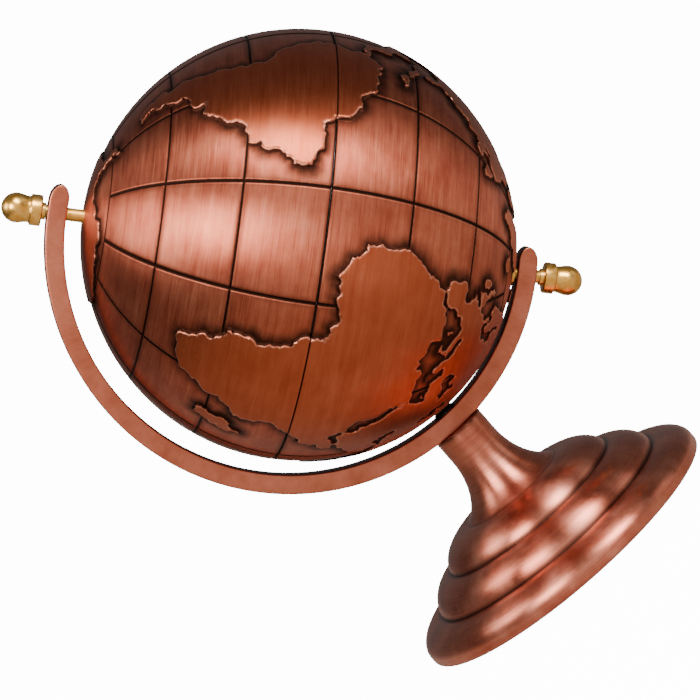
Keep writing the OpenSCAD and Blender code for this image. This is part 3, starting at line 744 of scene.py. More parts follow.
def engravedLines(tree, on):
    # distance in mm to the nearest parallel or meridian, and to the equator: ping-pong folds the angle
    # at each line, and 20 mm is added where a fold has no line
    foldLat = addNode(tree, "ShaderNodeMath", {"operation": "PINGPONG"}, {
        0: on["rise"], 1: globe["parallelStep"] / 2 * degree * radiusOfMap})
    foldLon = addNode(tree, "ShaderNodeMath", {"operation": "PINGPONG"}, {
        0: on["longitude"], 1: globe["meridianStep"] / 2 * degree})
    spread = addNode(tree, "ShaderNodeMath", {"operation": "MULTIPLY"}, {0: on["cosine"], 1: radiusOfMap})
    lonMm = addNode(tree, "ShaderNodeMath", {"operation": "MULTIPLY"}, {
        0: foldLon.outputs[0], 1: spread.outputs[0]})
    height = addNode(tree, "ShaderNodeMath", {"operation": "ABSOLUTE"}, {0: on["rise"]})
    beyond = addNode(tree, "ShaderNodeMapRange", None, {
        "Value": height.outputs[0], "From Min": globe["meridianEnd"] * degree * radiusOfMap,
        "From Max": globe["meridianEnd"] * degree * radiusOfMap + 0.3, "To Min": 0.0, "To Max": 20.0})
    lonLine = addNode(tree, "ShaderNodeMath", {"operation": "ADD"}, {
        0: lonMm.outputs[0], 1: beyond.outputs[0]})
    polar = addNode(tree, "ShaderNodeMapRange", None, {
        "Value": height.outputs[0], "From Min": 80 * degree * radiusOfMap,
        "From Max": 80.5 * degree * radiusOfMap, "To Min": 0.0, "To Max": 20.0})
    # the parallels are a little narrower than the meridians
    narrow = addNode(tree, "ShaderNodeMath", {"operation": "ADD"}, {0: foldLat.outputs[0], 1: 0.14})
    latLine = addNode(tree, "ShaderNodeMath", {"operation": "ADD"}, {
        0: narrow.outputs[0], 1: polar.outputs[0]})
    line = addNode(tree, "ShaderNodeMath", {"operation": "SMOOTH_MIN"}, {
        0: latLine.outputs[0], 1: lonLine.outputs[0], 2: 0.15})
    return line.outputs[0], height.outputs[0]


globeNoise = {
    # name: what it is laid over, turns per millimetre each way, detail, roughness
    "fine": ("streak", (0.07, 0.07, 3.4), 3.0, 0.65),   # brush streaks 0.3 mm wide, about 15 mm long
    "wide": ("streak", (0.05, 0.05, 0.45), 4.0, 0.6),   # bands of them 2 mm wide
    "cloud": ("local", (0.09, 0.09, 0.09), 5.0, 0.6),   # worn patches 11 mm across
    "speck": ("local", (0.8, 0.8, 0.8), 4.0, 0.6),
}


def globeNoises(tree, on):
    # one noise for each row of the table, as sockets
    out = {}
    for name, (over, scale, detail, roughness) in globeNoise.items():
        place = addNode(tree, "ShaderNodeMapping", None, {"Vector": on[over], "Scale": scale})
        noise = addNode(tree, "ShaderNodeTexNoise", None, {
            "Vector": place.outputs[0], "Scale": 1.0, "Detail": detail, "Roughness": roughness})
        out[name] = noise.outputs["Fac"]
    return out


def globePatina(tree, coastMm, line, equator, noise):
    # how dark the patina is: along the sea side of every coast, in the lines and in the seam
    jitter = addNode(tree, "ShaderNodeMath", {"operation": "MULTIPLY_ADD"}, {
        0: noise["cloud"], 1: 7.0, 2: -3.5})
    coastLoose = addNode(tree, "ShaderNodeMath", {"operation": "ADD"}, {0: coastMm, 1: jitter.outputs[0]})
    haloWide = addNode(tree, "ShaderNodeMapRange", {"interpolation_type": "SMOOTHSTEP"}, {
        "Value": coastLoose.outputs[0], "From Min": -5.2, "From Max": 0.2, "To Max": 0.95})
    haloNear = addNode(tree, "ShaderNodeMapRange", {"interpolation_type": "SMOOTHSTEP"}, {
        "Value": coastMm, "From Min": -2.0, "From Max": -0.5, "To Max": 0.95})
    halo = addNode(tree, "ShaderNodeMath", {"operation": "MAXIMUM"}, {
        0: haloWide.outputs[0], 1: haloNear.outputs[0]})
    grooveEdge = addNode(tree, "ShaderNodeMath", {"operation": "MULTIPLY_ADD"}, {
        0: noise["speck"], 1: 0.7, 2: 0.48})
    lineDark = addNode(tree, "ShaderNodeMapRange", {"interpolation_type": "SMOOTHSTEP"}, {
        "Value": line, "From Min": 0.34, "From Max": grooveEdge.outputs[0], "To Min": 1.0, "To Max": 0.0})
    lineHalo = addNode(tree, "ShaderNodeMapRange", {"interpolation_type": "SMOOTHSTEP"}, {
        "Value": line, "From Min": 0.4, "From Max": 2.4, "To Min": 0.4, "To Max": 0.0})
    lineBoth = addNode(tree, "ShaderNodeMath", {"operation": "MAXIMUM"}, {
        0: lineDark.outputs[0], 1: lineHalo.outputs[0]})
    seaOnly = addNode(tree, "ShaderNodeMapRange", None, {
        "Value": coastMm, "From Min": -0.15, "From Max": 0.0, "To Min": 1.0, "To Max": 0.0})
    coastDark = addNode(tree, "ShaderNodeMath", {"operation": "MULTIPLY"}, {
        0: halo.outputs[0], 1: seaOnly.outputs[0]})
    lineSea = addNode(tree, "ShaderNodeMath", {"operation": "MULTIPLY"}, {
        0: lineBoth.outputs[0], 1: seaOnly.outputs[0]})
    seam = addNode(tree, "ShaderNodeMapRange", {"interpolation_type": "SMOOTHSTEP"}, {
        "Value": equator, "From Min": 0.12, "From Max": 0.34, "To Min": 0.95, "To Max": 0.0})
    sea = addNode(tree, "ShaderNodeMath", {"operation": "MAXIMUM"}, {
        0: coastDark.outputs[0], 1: lineSea.outputs[0]})
    dark = addNode(tree, "ShaderNodeMath", {"operation": "MAXIMUM", "use_clamp": True}, {
        0: sea.outputs[0], 1: seam.outputs[0]})
    return dark.outputs[0]


def rubbedLip(tree, coastMm, noise):
    # how far the raised edge of the land is rubbed bright, here and there along it
    lipIn = addNode(tree, "ShaderNodeMapRange", {"interpolation_type": "SMOOTHSTEP"}, {
        "Value": coastMm, "From Min": -0.1, "From Max": 0.06})
    lipOut = addNode(tree, "ShaderNodeMapRange", {"interpolation_type": "SMOOTHSTEP"}, {
        "Value": coastMm, "From Min": 0.2, "From Max": 0.6, "To Min": 1.0, "To Max": 0.0})
    lip = addNode(tree, "ShaderNodeMath", {"operation": "MULTIPLY"}, {
        0: lipIn.outputs[0], 1: lipOut.outputs[0]})
    rubbed = addNode(tree, "ShaderNodeMapRange", None, {
        "Value": noise["speck"], "From Min": 0.35, "From Max": 0.65, "To Min": 0.05, "To Max": 0.75})
    some = addNode(tree, "ShaderNodeMath", {"operation": "MULTIPLY"}, {
        0: lip.outputs[0], 1: rubbed.outputs[0]})
    return some.outputs[0]


def makeGlobeCopper():
    # cast metal plated with copper, blackened, then brushed back along the parallels: the high faces are
    # bright streaked copper and the dark stays in the engraved lines and along the coasts
    material, tree = newMaterial("antiqued brushed copper")
    on = placeOnMap(tree)
    line, equator = engravedLines(tree, on)
    noise = globeNoises(tree, on)
    coastMm = addNode(tree, "ShaderNodeAttribute", {"attribute_name": "coastDistance"}).outputs["Fac"]

    # the noises pull a ramp from brown to bright pink copper on the sea, and a redder one on the land
    tone = 0.075
    for name, share in (("fine", 0.3), ("wide", 0.35), ("cloud", 0.35)):
        tone = addNode(tree, "ShaderNodeMath", {"operation": "MULTIPLY_ADD"}, {
            0: noise[name], 1: share, 2: tone}).outputs[0]
    seaRamp = addNode(tree, "ShaderNodeValToRGB", None, {"Fac": tone})
    setRamp(seaRamp, [(0.38, "#823A28"), (0.5, "#A4503A"), (0.62, "#BC664B"), (0.74, "#CE7B5E")])
    landRamp = addNode(tree, "ShaderNodeValToRGB", None, {"Fac": tone})
    setRamp(landRamp, [(0.36, "#944127"), (0.5, "#A95033"), (0.64, "#B75E3F"), (0.78, "#C36C4D")])
    isLand = addNode(tree, "ShaderNodeMapRange", None, {
        "Value": coastMm, "From Min": -0.12, "From Max": 0.05})
    copper = addNode(tree, "ShaderNodeMix", {"data_type": "RGBA"}, {
        0: isLand.outputs[0], 6: seaRamp.outputs[0], 7: landRamp.outputs[0]})
    dark = globePatina(tree, coastMm, line, equator, noise)
    patina = addNode(tree, "ShaderNodeMix", {"data_type": "RGBA"}, {
        0: dark, 6: copper.outputs[2], 7: hexLinear("#26150F")})
    bright = addNode(tree, "ShaderNodeMix", {"data_type": "RGBA"}, {
        0: rubbedLip(tree, coastMm, noise), 6: patina.outputs[2], 7: hexLinear("#DB9A80")})

    rough = addNode(tree, "ShaderNodeMapRange", None, {
        "Value": noise["fine"], "From Min": 0.3, "From Max": 0.7, "To Min": 0.34, "To Max": 0.46})
    roughDark = addNode(tree, "ShaderNodeMath", {"operation": "MULTIPLY_ADD"}, {
        0: dark, 1: 0.2, 2: rough.outputs[0]})
    streaks = addNode(tree, "ShaderNodeMath", {"operation": "MULTIPLY_ADD"}, {
        0: noise["wide"], 1: 0.5, 2: noise["fine"]})
    bump = addNode(tree, "ShaderNodeBump", None, {
        "Strength": 0.25, "Distance": 0.00008, "Height": streaks.outputs[0]})
    tangent = addNode(tree, "ShaderNodeTangent", {"direction_type": "UV_MAP", "uv_map": "latLong"})
    shader = addNode(tree, "ShaderNodeBsdfPrincipled", None, {
        "Base Color": bright.outputs[2], "Metallic": 1.0, "Roughness": roughDark.outputs[0],
        "Anisotropic": 0.8, "Anisotropic Rotation": 0.25, "Tangent": tangent.outputs[0],
        "Normal": bump.outputs[0]})
    addNode(tree, "ShaderNodeOutputMaterial", None, {"Surface": shader.outputs[0]})
    return material


globeCopper = makeGlobeCopper()
southShell = halfShell("southHalfShell", -1, globeCopper)
northShell = halfShell("northHalfShell", 1, globeCopper)
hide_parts("south_half_shell")
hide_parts("north_half_shell")
print("globe made")


arc = {
    "inner": 66.7, "outer": 72.4, "halfDepth": 4.0,
    "shift": 1.9,             # its centre lies this far to -X
    "seat": 50.5,             # height of the stem's top, on which it sits
    "fillet": 0.45,
    "pastHole": 8.4,          # length past each axle hole
    "tipLength": 4.6,         # the last of that, rounded off
    "stations": 260, "tipStations": 14,
    "boltHole": 2.2, "spotFace": 3.9, "spotFaceDepth": 0.1,
}
axle = {"bore": 1.98, "rod": 1.92}     # radius of the holes that it runs in, and its own
arcX = -arc["shift"]
arcZ = arc["seat"] + math.sqrt(arc["outer"] ** 2 - arc["shift"] ** 2)
boltSeat = arcZ - arc["inner"] - arc["spotFaceDepth"]


def axleReach(radius, side):
    # distance along the axle from the globe's centre to a circle of the arc; side 1 is up, -1 is down
    up = np.array([southUp.x, southUp.z])
    offset = np.array([-arcX, globeCentre.z - arcZ])
    along = offset @ up
    return math.sqrt(radius ** 2 - (offset @ offset - along ** 2)) - side * along


def holeAngle(side):
    # angle in the arc's plane, from +X towards +Z, at which the axle crosses the bar's middle line
    reach = axleReach((arc["inner"] + arc["outer"]) / 2, side) * side
    return math.atan2(globeCentre.z - arcZ + reach * southUp.z, -arcX + reach * southUp.x)


def cutWith(piece, cutters):
    # cut holes with the exact solver, then drop the cutters
    for cutter in cutters:
        modifier = piece.modifiers.new("cut", "BOOLEAN")
        modifier.operation, modifier.solver, modifier.object = "DIFFERENCE", "EXACT", cutter
    bpy.context.view_layer.update()
    mesh = bpy.data.meshes.new_from_object(piece.evaluated_get(bpy.context.evaluated_depsgraph_get()))
    piece.modifiers.clear()
    old, piece.data = piece.data, mesh
    bpy.data.meshes.remove(old)
    for cutter in cutters:
        bpy.data.objects.remove(cutter)
    mesh.set_sharp_from_angle(angle=math.radians(40))


def makeArcCopper():
    # copper plated flat bar, satin brushed across its wide faces, with painted shade on its narrow edge
    # faces and rounded edges that draws a dark outline round the bar
    material, tree = newMaterial("satin copper plate")
    place = addNode(tree, "ShaderNodeTexCoord")
    local = addNode(tree, "ShaderNodeMapping", {"vector_type": "TEXTURE"}, {
        "Vector": place.outputs["Object"], "Location": (arcX * mm, 0, arcZ * mm), "Scale": (mm, mm, mm)})
    axes = addNode(tree, "ShaderNodeSeparateXYZ", None, {0: local.outputs[0]})
    flat = addNode(tree, "ShaderNodeCombineXYZ", None, {0: axes.outputs["X"], 2: axes.outputs["Z"]})
    radius = addNode(tree, "ShaderNodeVectorMath", {"operation": "LENGTH"}, {0: flat.outputs[0]})
    turn = addNode(tree, "ShaderNodeMath", {"operation": "ARCTAN2"}, {
        0: axes.outputs["Z"], 1: axes.outputs["X"]})
    along = addNode(tree, "ShaderNodeMath", {"operation": "MULTIPLY"}, {0: turn.outputs[0], 1: 70.0})
    lay = addNode(tree, "ShaderNodeCombineXYZ", None, {
        0: along.outputs[0], 1: radius.outputs["Value"], 2: axes.outputs["Y"]})
    # scratches 0.3 mm apart that run 4 mm across the bar, and broad worn patches
    scratchPlace = addNode(tree, "ShaderNodeMapping", None, {
        "Vector": lay.outputs[0], "Scale": (3.0, 0.25, 0.25)})
    scratch = addNode(tree, "ShaderNodeTexNoise", None, {
        "Vector": scratchPlace.outputs[0], "Scale": 1.0, "Detail": 3.0, "Roughness": 0.6})
    wear = addNode(tree, "ShaderNodeTexNoise", None, {
        "Vector": local.outputs[0], "Scale": 0.12, "Detail": 4.0, "Roughness": 0.55})
    tone = addNode(tree, "ShaderNodeMath", {"operation": "MULTIPLY_ADD"}, {
        0: scratch.outputs["Fac"], 1: 0.2, 2: 0.075})
    both = addNode(tree, "ShaderNodeMath", {"operation": "MULTIPLY_ADD"}, {
        0: wear.outputs["Fac"], 1: 0.65, 2: tone.outputs[0]})
    ramp = addNode(tree, "ShaderNodeValToRGB", None, {"Fac": both.outputs[0]})
    setRamp(ramp, [(0.36, "#B05E44"), (0.5, "#BF6D53"), (0.64, "#CC7A61")])
    # painted shade: the narrow edge faces are dark, fading out over the rounded edges onto the wide faces
    depth = addNode(tree, "ShaderNodeMath", {"operation": "ABSOLUTE"}, {0: axes.outputs["Y"]})
    edge = addNode(tree, "ShaderNodeMapRange", {"interpolation_type": "SMOOTHSTEP"}, {
        "Value": depth.outputs[0], "From Min": 3.6, "From Max": 3.88, "To Min": 1.0, "To Max": 0.0})
    colour = addNode(tree, "ShaderNodeMix", {"data_type": "RGBA"}, {
        0: edge.outputs[0], 6: ramp.outputs[0], 7: hexLinear("#3A1D17")})
    bump = addNode(tree, "ShaderNodeBump", None, {
        "Strength": 0.2, "Distance": 0.00005, "Height": scratch.outputs["Fac"]})
    shader = addNode(tree, "ShaderNodeBsdfPrincipled", None, {
        "Base Color": colour.outputs[2], "Metallic": 1.0, "Roughness": 0.42, "Normal": bump.outputs[0]})
    addNode(tree, "ShaderNodeOutputMaterial", None, {"Surface": shader.outputs[0]})
    return material


def arcOutline(inset, y):
    # closed outline of the bar, drawn in by inset: two long arcs, and at each end a half ellipse
    middle = (arc["inner"] + arc["outer"]) / 2
    half = (arc["outer"] - arc["inner"]) / 2 - inset
    low = holeAngle(1) - arc["pastHole"] / middle + inset / middle
    high = holeAngle(-1) + 2 * math.pi + arc["pastHole"] / middle - inset / middle
    tip = (arc["tipLength"] - inset) / middle
    t = np.linspace(math.pi / 2 * 0.97, 0, arc["tipStations"])
    straight = np.linspace(low + tip, high - tip, arc["stations"])[1:-1]
    angles = np.concatenate([low + tip * (1 - np.sin(t)), straight, high - tip * (1 - np.sin(t[::-1]))])
    width = np.concatenate([np.cos(t), np.ones(len(straight)), np.cos(t[::-1])]) * half
    r = np.concatenate([middle - width, (middle + width)[::-1]])
    q = np.concatenate([angles, angles[::-1]])
    return np.stack([arcX + r * np.cos(q), np.full(len(q), y), arcZ + r * np.sin(q)], -1)


def makeArc():
    # outlines from the back face to the front, drawn in along a quarter circle at the rounded edges
    fillet, depth = arc["fillet"], arc["halfDepth"]
    a = np.linspace(0, math.pi / 2, 5)
    layers = [(fillet + 0.5, -depth)]
    layers += [(fillet * (1 - math.sin(t)), -depth + fillet * (1 - math.cos(t))) for t in a]
    layers += [(inset, -y) for inset, y in layers[::-1]]
    loops = [arcOutline(inset, y) for inset, y in layers]
    around = len(loops[0])
    i = np.arange(around // 2 - 1)
    front = np.stack([i, around - 1 - i, around - 2 - i, i + 1], -1)
    back = front[:, ::-1] + (len(loops) - 1) * around
    faces = np.concatenate([gridFaces(len(loops), around), front, back])
    piece = buildMesh("meridianArc", np.concatenate(loops), faces, makeArcCopper())
    shape = bmesh.new()
    shape.from_mesh(piece.data)
    bmesh.ops.recalc_face_normals(shape, faces=shape.faces)
    shape.to_mesh(piece.data)
    shape.free()
    bore = lathe("boreCutter", [(0, -90), (axle["bore"], -90), (axle["bore"], 90), (0, 90)],
                 None, 48, axleMatrix)
    hole = lathe("holeCutter", [
        (0, boltSeat - 11), (arc["boltHole"], boltSeat - 11), (arc["boltHole"], boltSeat),
        (arc["spotFace"], boltSeat), (arc["spotFace"], boltSeat + 4), (0, boltSeat + 4)], None, 64)
    cutWith(piece, [bore, hole])
    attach(piece, "stand")
    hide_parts("meridian_arc")
    print("arc made")


makeArc()


def makeTurnedCopper():
    # turned stand, copper plated, with dark patina in the creases, painted shade where the stem meets the
    # arc, and bright flecks here and there
    material, tree = newMaterial("antiqued turned copper")
    place = addNode(tree, "ShaderNodeTexCoord")
    local = addNode(tree, "ShaderNodeMapping", {"vector_type": "TEXTURE"}, {
        "Vector": place.outputs["Object"], "Scale": (mm, mm, mm)})
    axes = addNode(tree, "ShaderNodeSeparateXYZ", None, {0: local.outputs[0]})
    flat = addNode(tree, "ShaderNodeCombineXYZ", None, {0: axes.outputs["X"], 1: axes.outputs["Y"]})
    radius = addNode(tree, "ShaderNodeVectorMath", {"operation": "LENGTH"}, {0: flat.outputs[0]})
    profile = addNode(tree, "ShaderNodeMath", {"operation": "SUBTRACT"}, {
        0: radius.outputs["Value"], 1: axes.outputs["Z"]})
    # turning marks 0.5 mm apart: noise that changes quickly along the profile and slowly round the axis
    markPlace = addNode(tree, "ShaderNodeCombineXYZ", None, {
        0: axes.outputs["X"], 1: axes.outputs["Y"], 2: profile.outputs[0]})
    markScale = addNode(tree, "ShaderNodeMapping", None, {
        "Vector": markPlace.outputs[0], "Scale": (0.04, 0.04, 2.2)})
    mark = addNode(tree, "ShaderNodeTexNoise", None, {
        "Vector": markScale.outputs[0], "Scale": 1.0, "Detail": 3.0, "Roughness": 0.6})
    wear = addNode(tree, "ShaderNodeTexNoise", None, {
        "Vector": local.outputs[0], "Scale": 0.09, "Detail": 5.0, "Roughness": 0.6})
    speck = addNode(tree, "ShaderNodeTexNoise", None, {
        "Vector": local.outputs[0], "Scale": 0.9, "Detail": 3.0, "Roughness": 0.6})
    tone = addNode(tree, "ShaderNodeMath", {"operation": "MULTIPLY"}, {0: mark.outputs["Fac"], 1: 0.3})
    both = addNode(tree, "ShaderNodeMath", {"operation": "MULTIPLY_ADD"}, {
        0: wear.outputs["Fac"], 1: 0.7, 2: tone.outputs[0]})
    ramp = addNode(tree, "ShaderNodeValToRGB", None, {"Fac": both.outputs[0]})
    setRamp(ramp, [(0.36, "#AE5B45"), (0.5, "#C4725A"), (0.64, "#D68A72")])
    # dark patina towards the creases, and painted shade near the arc's seat on the stem
    crease = addNode(tree, "ShaderNodeAttribute", {"attribute_name": "creaseAndSeatDistance"})
    loose = addNode(tree, "ShaderNodeMath", {"operation": "MULTIPLY_ADD"}, {
        0: wear.outputs["Fac"], 1: 2.4, 2: 0.5})
    dark = addNode(tree, "ShaderNodeMapRange", {"interpolation_type": "SMOOTHSTEP"}, {
        "Value": crease.outputs["Fac"], "From Min": 0.15, "From Max": loose.outputs[0],
        "To Min": 0.8, "To Max": 0.0})
    fleck = addNode(tree, "ShaderNodeMapRange", None, {
        "Value": speck.outputs["Fac"], "From Min": 0.66, "From Max": 0.74, "To Min": 0.0, "To Max": 0.3})
    colour = addNode(tree, "ShaderNodeMix", {"data_type": "RGBA"}, {
        0: dark.outputs[0], 6: ramp.outputs[0], 7: hexLinear("#2C1511")})
    flecked = addNode(tree, "ShaderNodeMix", {"data_type": "RGBA"}, {
        0: fleck.outputs[0], 6: colour.outputs[2], 7: hexLinear("#E3A68E")})
    rough = addNode(tree, "ShaderNodeMapRange", None, {
        "Value": wear.outputs["Fac"], "From Min": 0.3, "From Max": 0.7, "To Min": 0.27, "To Max": 0.40})
    tangent = addNode(tree, "ShaderNodeTangent", {"direction_type": "RADIAL", "axis": "Z"})
    bump = addNode(tree, "ShaderNodeBump", None, {
        "Strength": 0.15, "Distance": 0.00006, "Height": mark.outputs["Fac"]})
    shader = addNode(tree, "ShaderNodeBsdfPrincipled", None, {
        "Base Color": flecked.outputs[2], "Metallic": 1.0, "Roughness": rough.outputs[0],
        "Anisotropic": 0.75, "Anisotropic Rotation": 0.25, "Tangent": tangent.outputs[0],
        "Normal": bump.outputs[0]})
    addNode(tree, "ShaderNodeOutputMaterial", None, {"Surface": shader.outputs[0]})
    return material


pedestal = {
    # (widest radius, height there, height of the dome's top) of each step, from the desk up
    "steps": [(51.0, 3.5, 9.9), (40.6, 8.9, 18.2), (30.2, 17.2, 25.9)],
    "flare": (21.5, 24.7, 8.1, 43.4),    # outer radius, low end, stem radius, high end
    "rim": (0.6, 1.4),                   # height and roundness of the bottom edge
    # (distance in from the stem's side, height) of its upper edge
    "stemTop": [(0, 46.0), (0, 48.5), (0, 50.2), (0.1, 50.7), (0.3, 51.0), (0.6, 51.3), (1.5, 51.3),
                (3.1, 51.3)],
    # (radius, height) of the inside, from the bolt hole down to the board's recess
    "hollow": [(2.2, 28), (7.5, 28), (12.5, 22.8), (26.8, 19), (27.2, 13.2), (37.2, 12), (37.5, 5.8),
               (43.5, 5.2), (43.5, 3.9), (46.5, 3.9), (46.5, 0.6)],
    "curvePoints": 26,
    "around": 200,
    "creaseFaint": (0, 0, 0.9),          # added to the distance from each crease; the stem's is faintest
    "seatShadeReach": 12,                     # inside this radius painted shade follows the arc's seat as well
}


def pedestalProfile():
    # each step is a quarter ellipse, drawn in from its widest place to the foot of the next curve, and
    # the flare is a quarter ellipse that bends the other way; a crease lies where two of them meet
    steps = pedestal["steps"]
    wide, flareLow, stem, flareHigh = pedestal["flare"]
    share = math.sqrt(1 - ((flareHigh - steps[-1][2]) / (flareHigh - flareLow)) ** 2)
    inner = wide - (wide - stem) * share
    creases = [(inner, steps[-1][2])]
    for (outer, low, high), under in zip(steps[:0:-1], steps[-2::-1]):
        inner += (outer - inner) * math.sqrt(1 - ((under[2] - low) / (high - low)) ** 2)
        creases.insert(0, (inner, under[2]))

    lift, rim = pedestal["rim"]
    a = np.radians(np.linspace(0, 90, 7))
    profile = [np.stack([steps[0][0] - rim * (1 - np.sin(a)), lift + rim * (1 - np.cos(a))], -1)]
    start = steps[0][1]
    for (outer, low, high), (inner, _) in zip(steps, creases):
        a = np.linspace(math.asin((start - low) / (high - low)), math.pi / 2, pedestal["curvePoints"])
        profile.append(np.stack([inner + (outer - inner) * np.cos(a), low + (high - low) * np.sin(a)], -1))
        start = high
    first = math.acos((flareHigh - start) / (flareHigh - flareLow))
    a = np.linspace(first, math.pi / 2, pedestal["curvePoints"])
    profile.append(np.stack([
        wide - (wide - stem) * np.sin(a), flareHigh - (flareHigh - flareLow) * np.cos(a)], -1))
    profile.append([(stem - inset, height) for inset, height in pedestal["stemTop"]])
    profile.append([(pedestal["hollow"][0][0], pedestal["stemTop"][-1][1])])
    profile = np.concatenate(profile)
    keep = np.r_[True, np.linalg.norm(np.diff(profile, axis=0), axis=1) > 0.05]
    return profile[keep], np.array(creases)


def makePedestal():
    # the lathed profile, with the stem's top cut to the arc's round outside, and on every point its
    # distance from the nearest crease, or on the stem from the arc's seat, for the painted shade there
    outside, creases = pedestalProfile()
    profile = np.concatenate([outside, pedestal["hollow"], outside[:1]])
    piece = lathe("pedestal", profile, makeTurnedCopper(), pedestal["around"])
    points = np.zeros(len(piece.data.vertices) * 3)
    piece.data.vertices.foreach_get("co", points)
    points = points.reshape(-1, 3) / mm
    radius = np.hypot(points[:, 0], points[:, 1])
    distance = np.hypot(radius[:, None] - creases[:, 0], points[:, 2, None] - creases[:, 1])
    distance = (distance + pedestal["creaseFaint"]).min(axis=1)
    saddle = arcZ - np.sqrt(arc["outer"] ** 2 - (points[:, 0] - arcX) ** 2)
    onStem = radius < pedestal["seatShadeReach"]
    # on the stem the distance to the arc's seat counts too, which paints shade where the arc sits on the
    # stem
    distance = np.minimum(distance, np.where(onStem, np.abs(saddle - points[:, 2]) + 0.3, 9))
    high = points[:, 2] > arc["seat"] - 0.5
    points[:, 2] = np.where(high, np.minimum(points[:, 2], saddle), points[:, 2])
    piece.data.vertices.foreach_set("co", (points * mm).ravel())
    layer = piece.data.attributes.new("creaseAndSeatDistance", "FLOAT", "POINT")
    layer.data.foreach_set("value", distance.astype(np.float32))
    piece.data.update()
    piece.data.set_sharp_from_angle(angle=math.radians(55))
    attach(piece, "stand")
    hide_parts("pedestal")
    print("pedestal made")


makePedestal()


def makeBrass(name, dull):
    # turned and lacquered yellow brass, a little tarnished: clouded highlights with turning marks
    material, tree = newMaterial(name)
    place = addNode(tree, "ShaderNodeTexCoord")
    local = addNode(tree, "ShaderNodeMapping", {"vector_type": "TEXTURE"}, {
        "Vector": place.outputs["Object"], "Location": globeCentre * mm,
        "Rotation": (0, -axleTilt, 0), "Scale": (mm, mm, mm)})
    # turning marks 0.25 mm apart
    mark = addNode(tree, "ShaderNodeMapping", None, {"Vector": local.outputs[0], "Scale": (0.15, 0.15, 4.0)})
    turned = addNode(tree, "ShaderNodeTexNoise", None, {
        "Vector": mark.outputs[0], "Scale": 1.0, "Detail": 2.0, "Roughness": 0.5})
    cloud = addNode(tree, "ShaderNodeTexNoise", None, {
        "Vector": local.outputs[0], "Scale": 0.5, "Detail": 4.0, "Roughness": 0.6})
    ramp = addNode(tree, "ShaderNodeValToRGB", None, {"Fac": cloud.outputs["Fac"]})
    setRamp(ramp, [(0.3, "#E09E42"), (0.5, "#F0B355"), (0.7, "#F8C978")])
    rough = addNode(tree, "ShaderNodeMapRange", None, {
        "Value": cloud.outputs["Fac"], "From Min": 0.3, "From Max": 0.7,
        "To Min": 0.26 + dull, "To Max": 0.34 + dull})
    bump = addNode(tree, "ShaderNodeBump", None, {
        "Strength": 0.15, "Distance": 0.00003, "Height": turned.outputs["Fac"]})
    shader = addNode(tree, "ShaderNodeBsdfPrincipled", None, {
        "Base Color": ramp.outputs[0], "Metallic": 1.0, "Roughness": rough.outputs[0],
        "Normal": bump.outputs[0]})
    addNode(tree, "ShaderNodeOutputMaterial", None, {"Surface": shader.outputs[0]})
    return material


brass = makeBrass("polished turned brass", 0.0)
dullBrass = makeBrass("plain drawn brass", 0.12)

knob = {
    # distance of each collar's face from the globe's centre: 1 is the upper knob, -1 the lower
    "face": {1: axleReach(arc["outer"], 1) + 1.5, -1: axleReach(arc["outer"], -1) + 2.5},
    "boss": 1.2, "neck": 2.5, "collar": 4.6, "collarLength": 3.3, "waist": 3.86, "waistAt": 3.7,
    "ball": 4.42, "ballAt": 7.3, "length": 11.8, "bore": 6.0,
}


def knobProfile():
    # from the bore's end: bore, neck, rounded collar, a waist eased both ways, then a quarter ellipse
    shoulder = knob["waist"] + 0.25
    start = roundedProfile([
        (axle["rod"], knob["bore"], 0), (axle["rod"], -knob["boss"], 0.1),
        (knob["neck"], -knob["boss"], 0.2), (knob["neck"], 0, 0.1), (knob["collar"], 0, 0.45),
        (knob["collar"], knob["collarLength"], 0.3), (shoulder, knob["collarLength"], 0)], 5)
    t = np.linspace(0, 1, 14)[1:]
    ease = 0.5 - 0.5 * np.cos(math.pi * t)
    fall = np.stack([shoulder + (knob["waist"] - shoulder) * ease,
                     knob["collarLength"] + (knob["waistAt"] - knob["collarLength"]) * t], -1)
    rise = np.stack([knob["waist"] + (knob["ball"] - knob["waist"]) * ease,
                     knob["waistAt"] + (knob["ballAt"] - knob["waistAt"]) * t], -1)
    a = np.linspace(0, math.pi / 2, 24)[1:]
    dome = np.stack([knob["ball"] * np.cos(a),
                     knob["ballAt"] + (knob["length"] - knob["ballAt"]) * np.sin(a)], -1)
    dome[-1, 0] = 0
    return np.concatenate([[(0, knob["bore"])], start, fall, rise, dome])


def alongAxle(side):
    # the axle's frame, turned over for the lower end
    return axleMatrix @ Matrix.Rotation(0 if side > 0 else math.pi, 4, "X")


def makeKnob(name, side, node):
    # ball-ended nut, with its collar's face a little way past the arc
    seat = alongAxle(side) @ Matrix.Translation((0, 0, knob["face"][side]))
    piece = lathe(name, knobProfile(), brass, 96, seat)
    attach(piece, "axle")
    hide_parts(node)


makeKnob("upperKnob", 1, "upper_knob")
makeKnob("lowerKnob", -1, "lower_knob")


def makeRod():
    # straight rod from the end of one knob's bore to the other's, with rings to keep its faces short
    low = -knob["face"][-1] - knob["bore"]
    high = knob["face"][1] + knob["bore"]
    profile = roundedProfile([
        (0, low, 0), (axle["rod"], low, 0.4), (axle["rod"], high, 0.4), (0, high, 0)], 4)
    middle = np.linspace(low + 1, high - 1, 80)
    rings = np.stack([np.full(len(middle), axle["rod"]), middle], -1)
    half = len(profile) // 2
    profile = np.concatenate([profile[:half], rings, profile[half:]])
    piece = lathe("axleRod", profile, dullBrass, 64, axleMatrix)
    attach(piece, "axle")
    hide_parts("axle_rod")


makeRod()
print("knobs and axle made")

bush = {"foot": 57.0, "flangeRadius": 4.6, "radius": 3.0, "face": 63.3, "washerRadius": 3.7, "washer": 0.9}


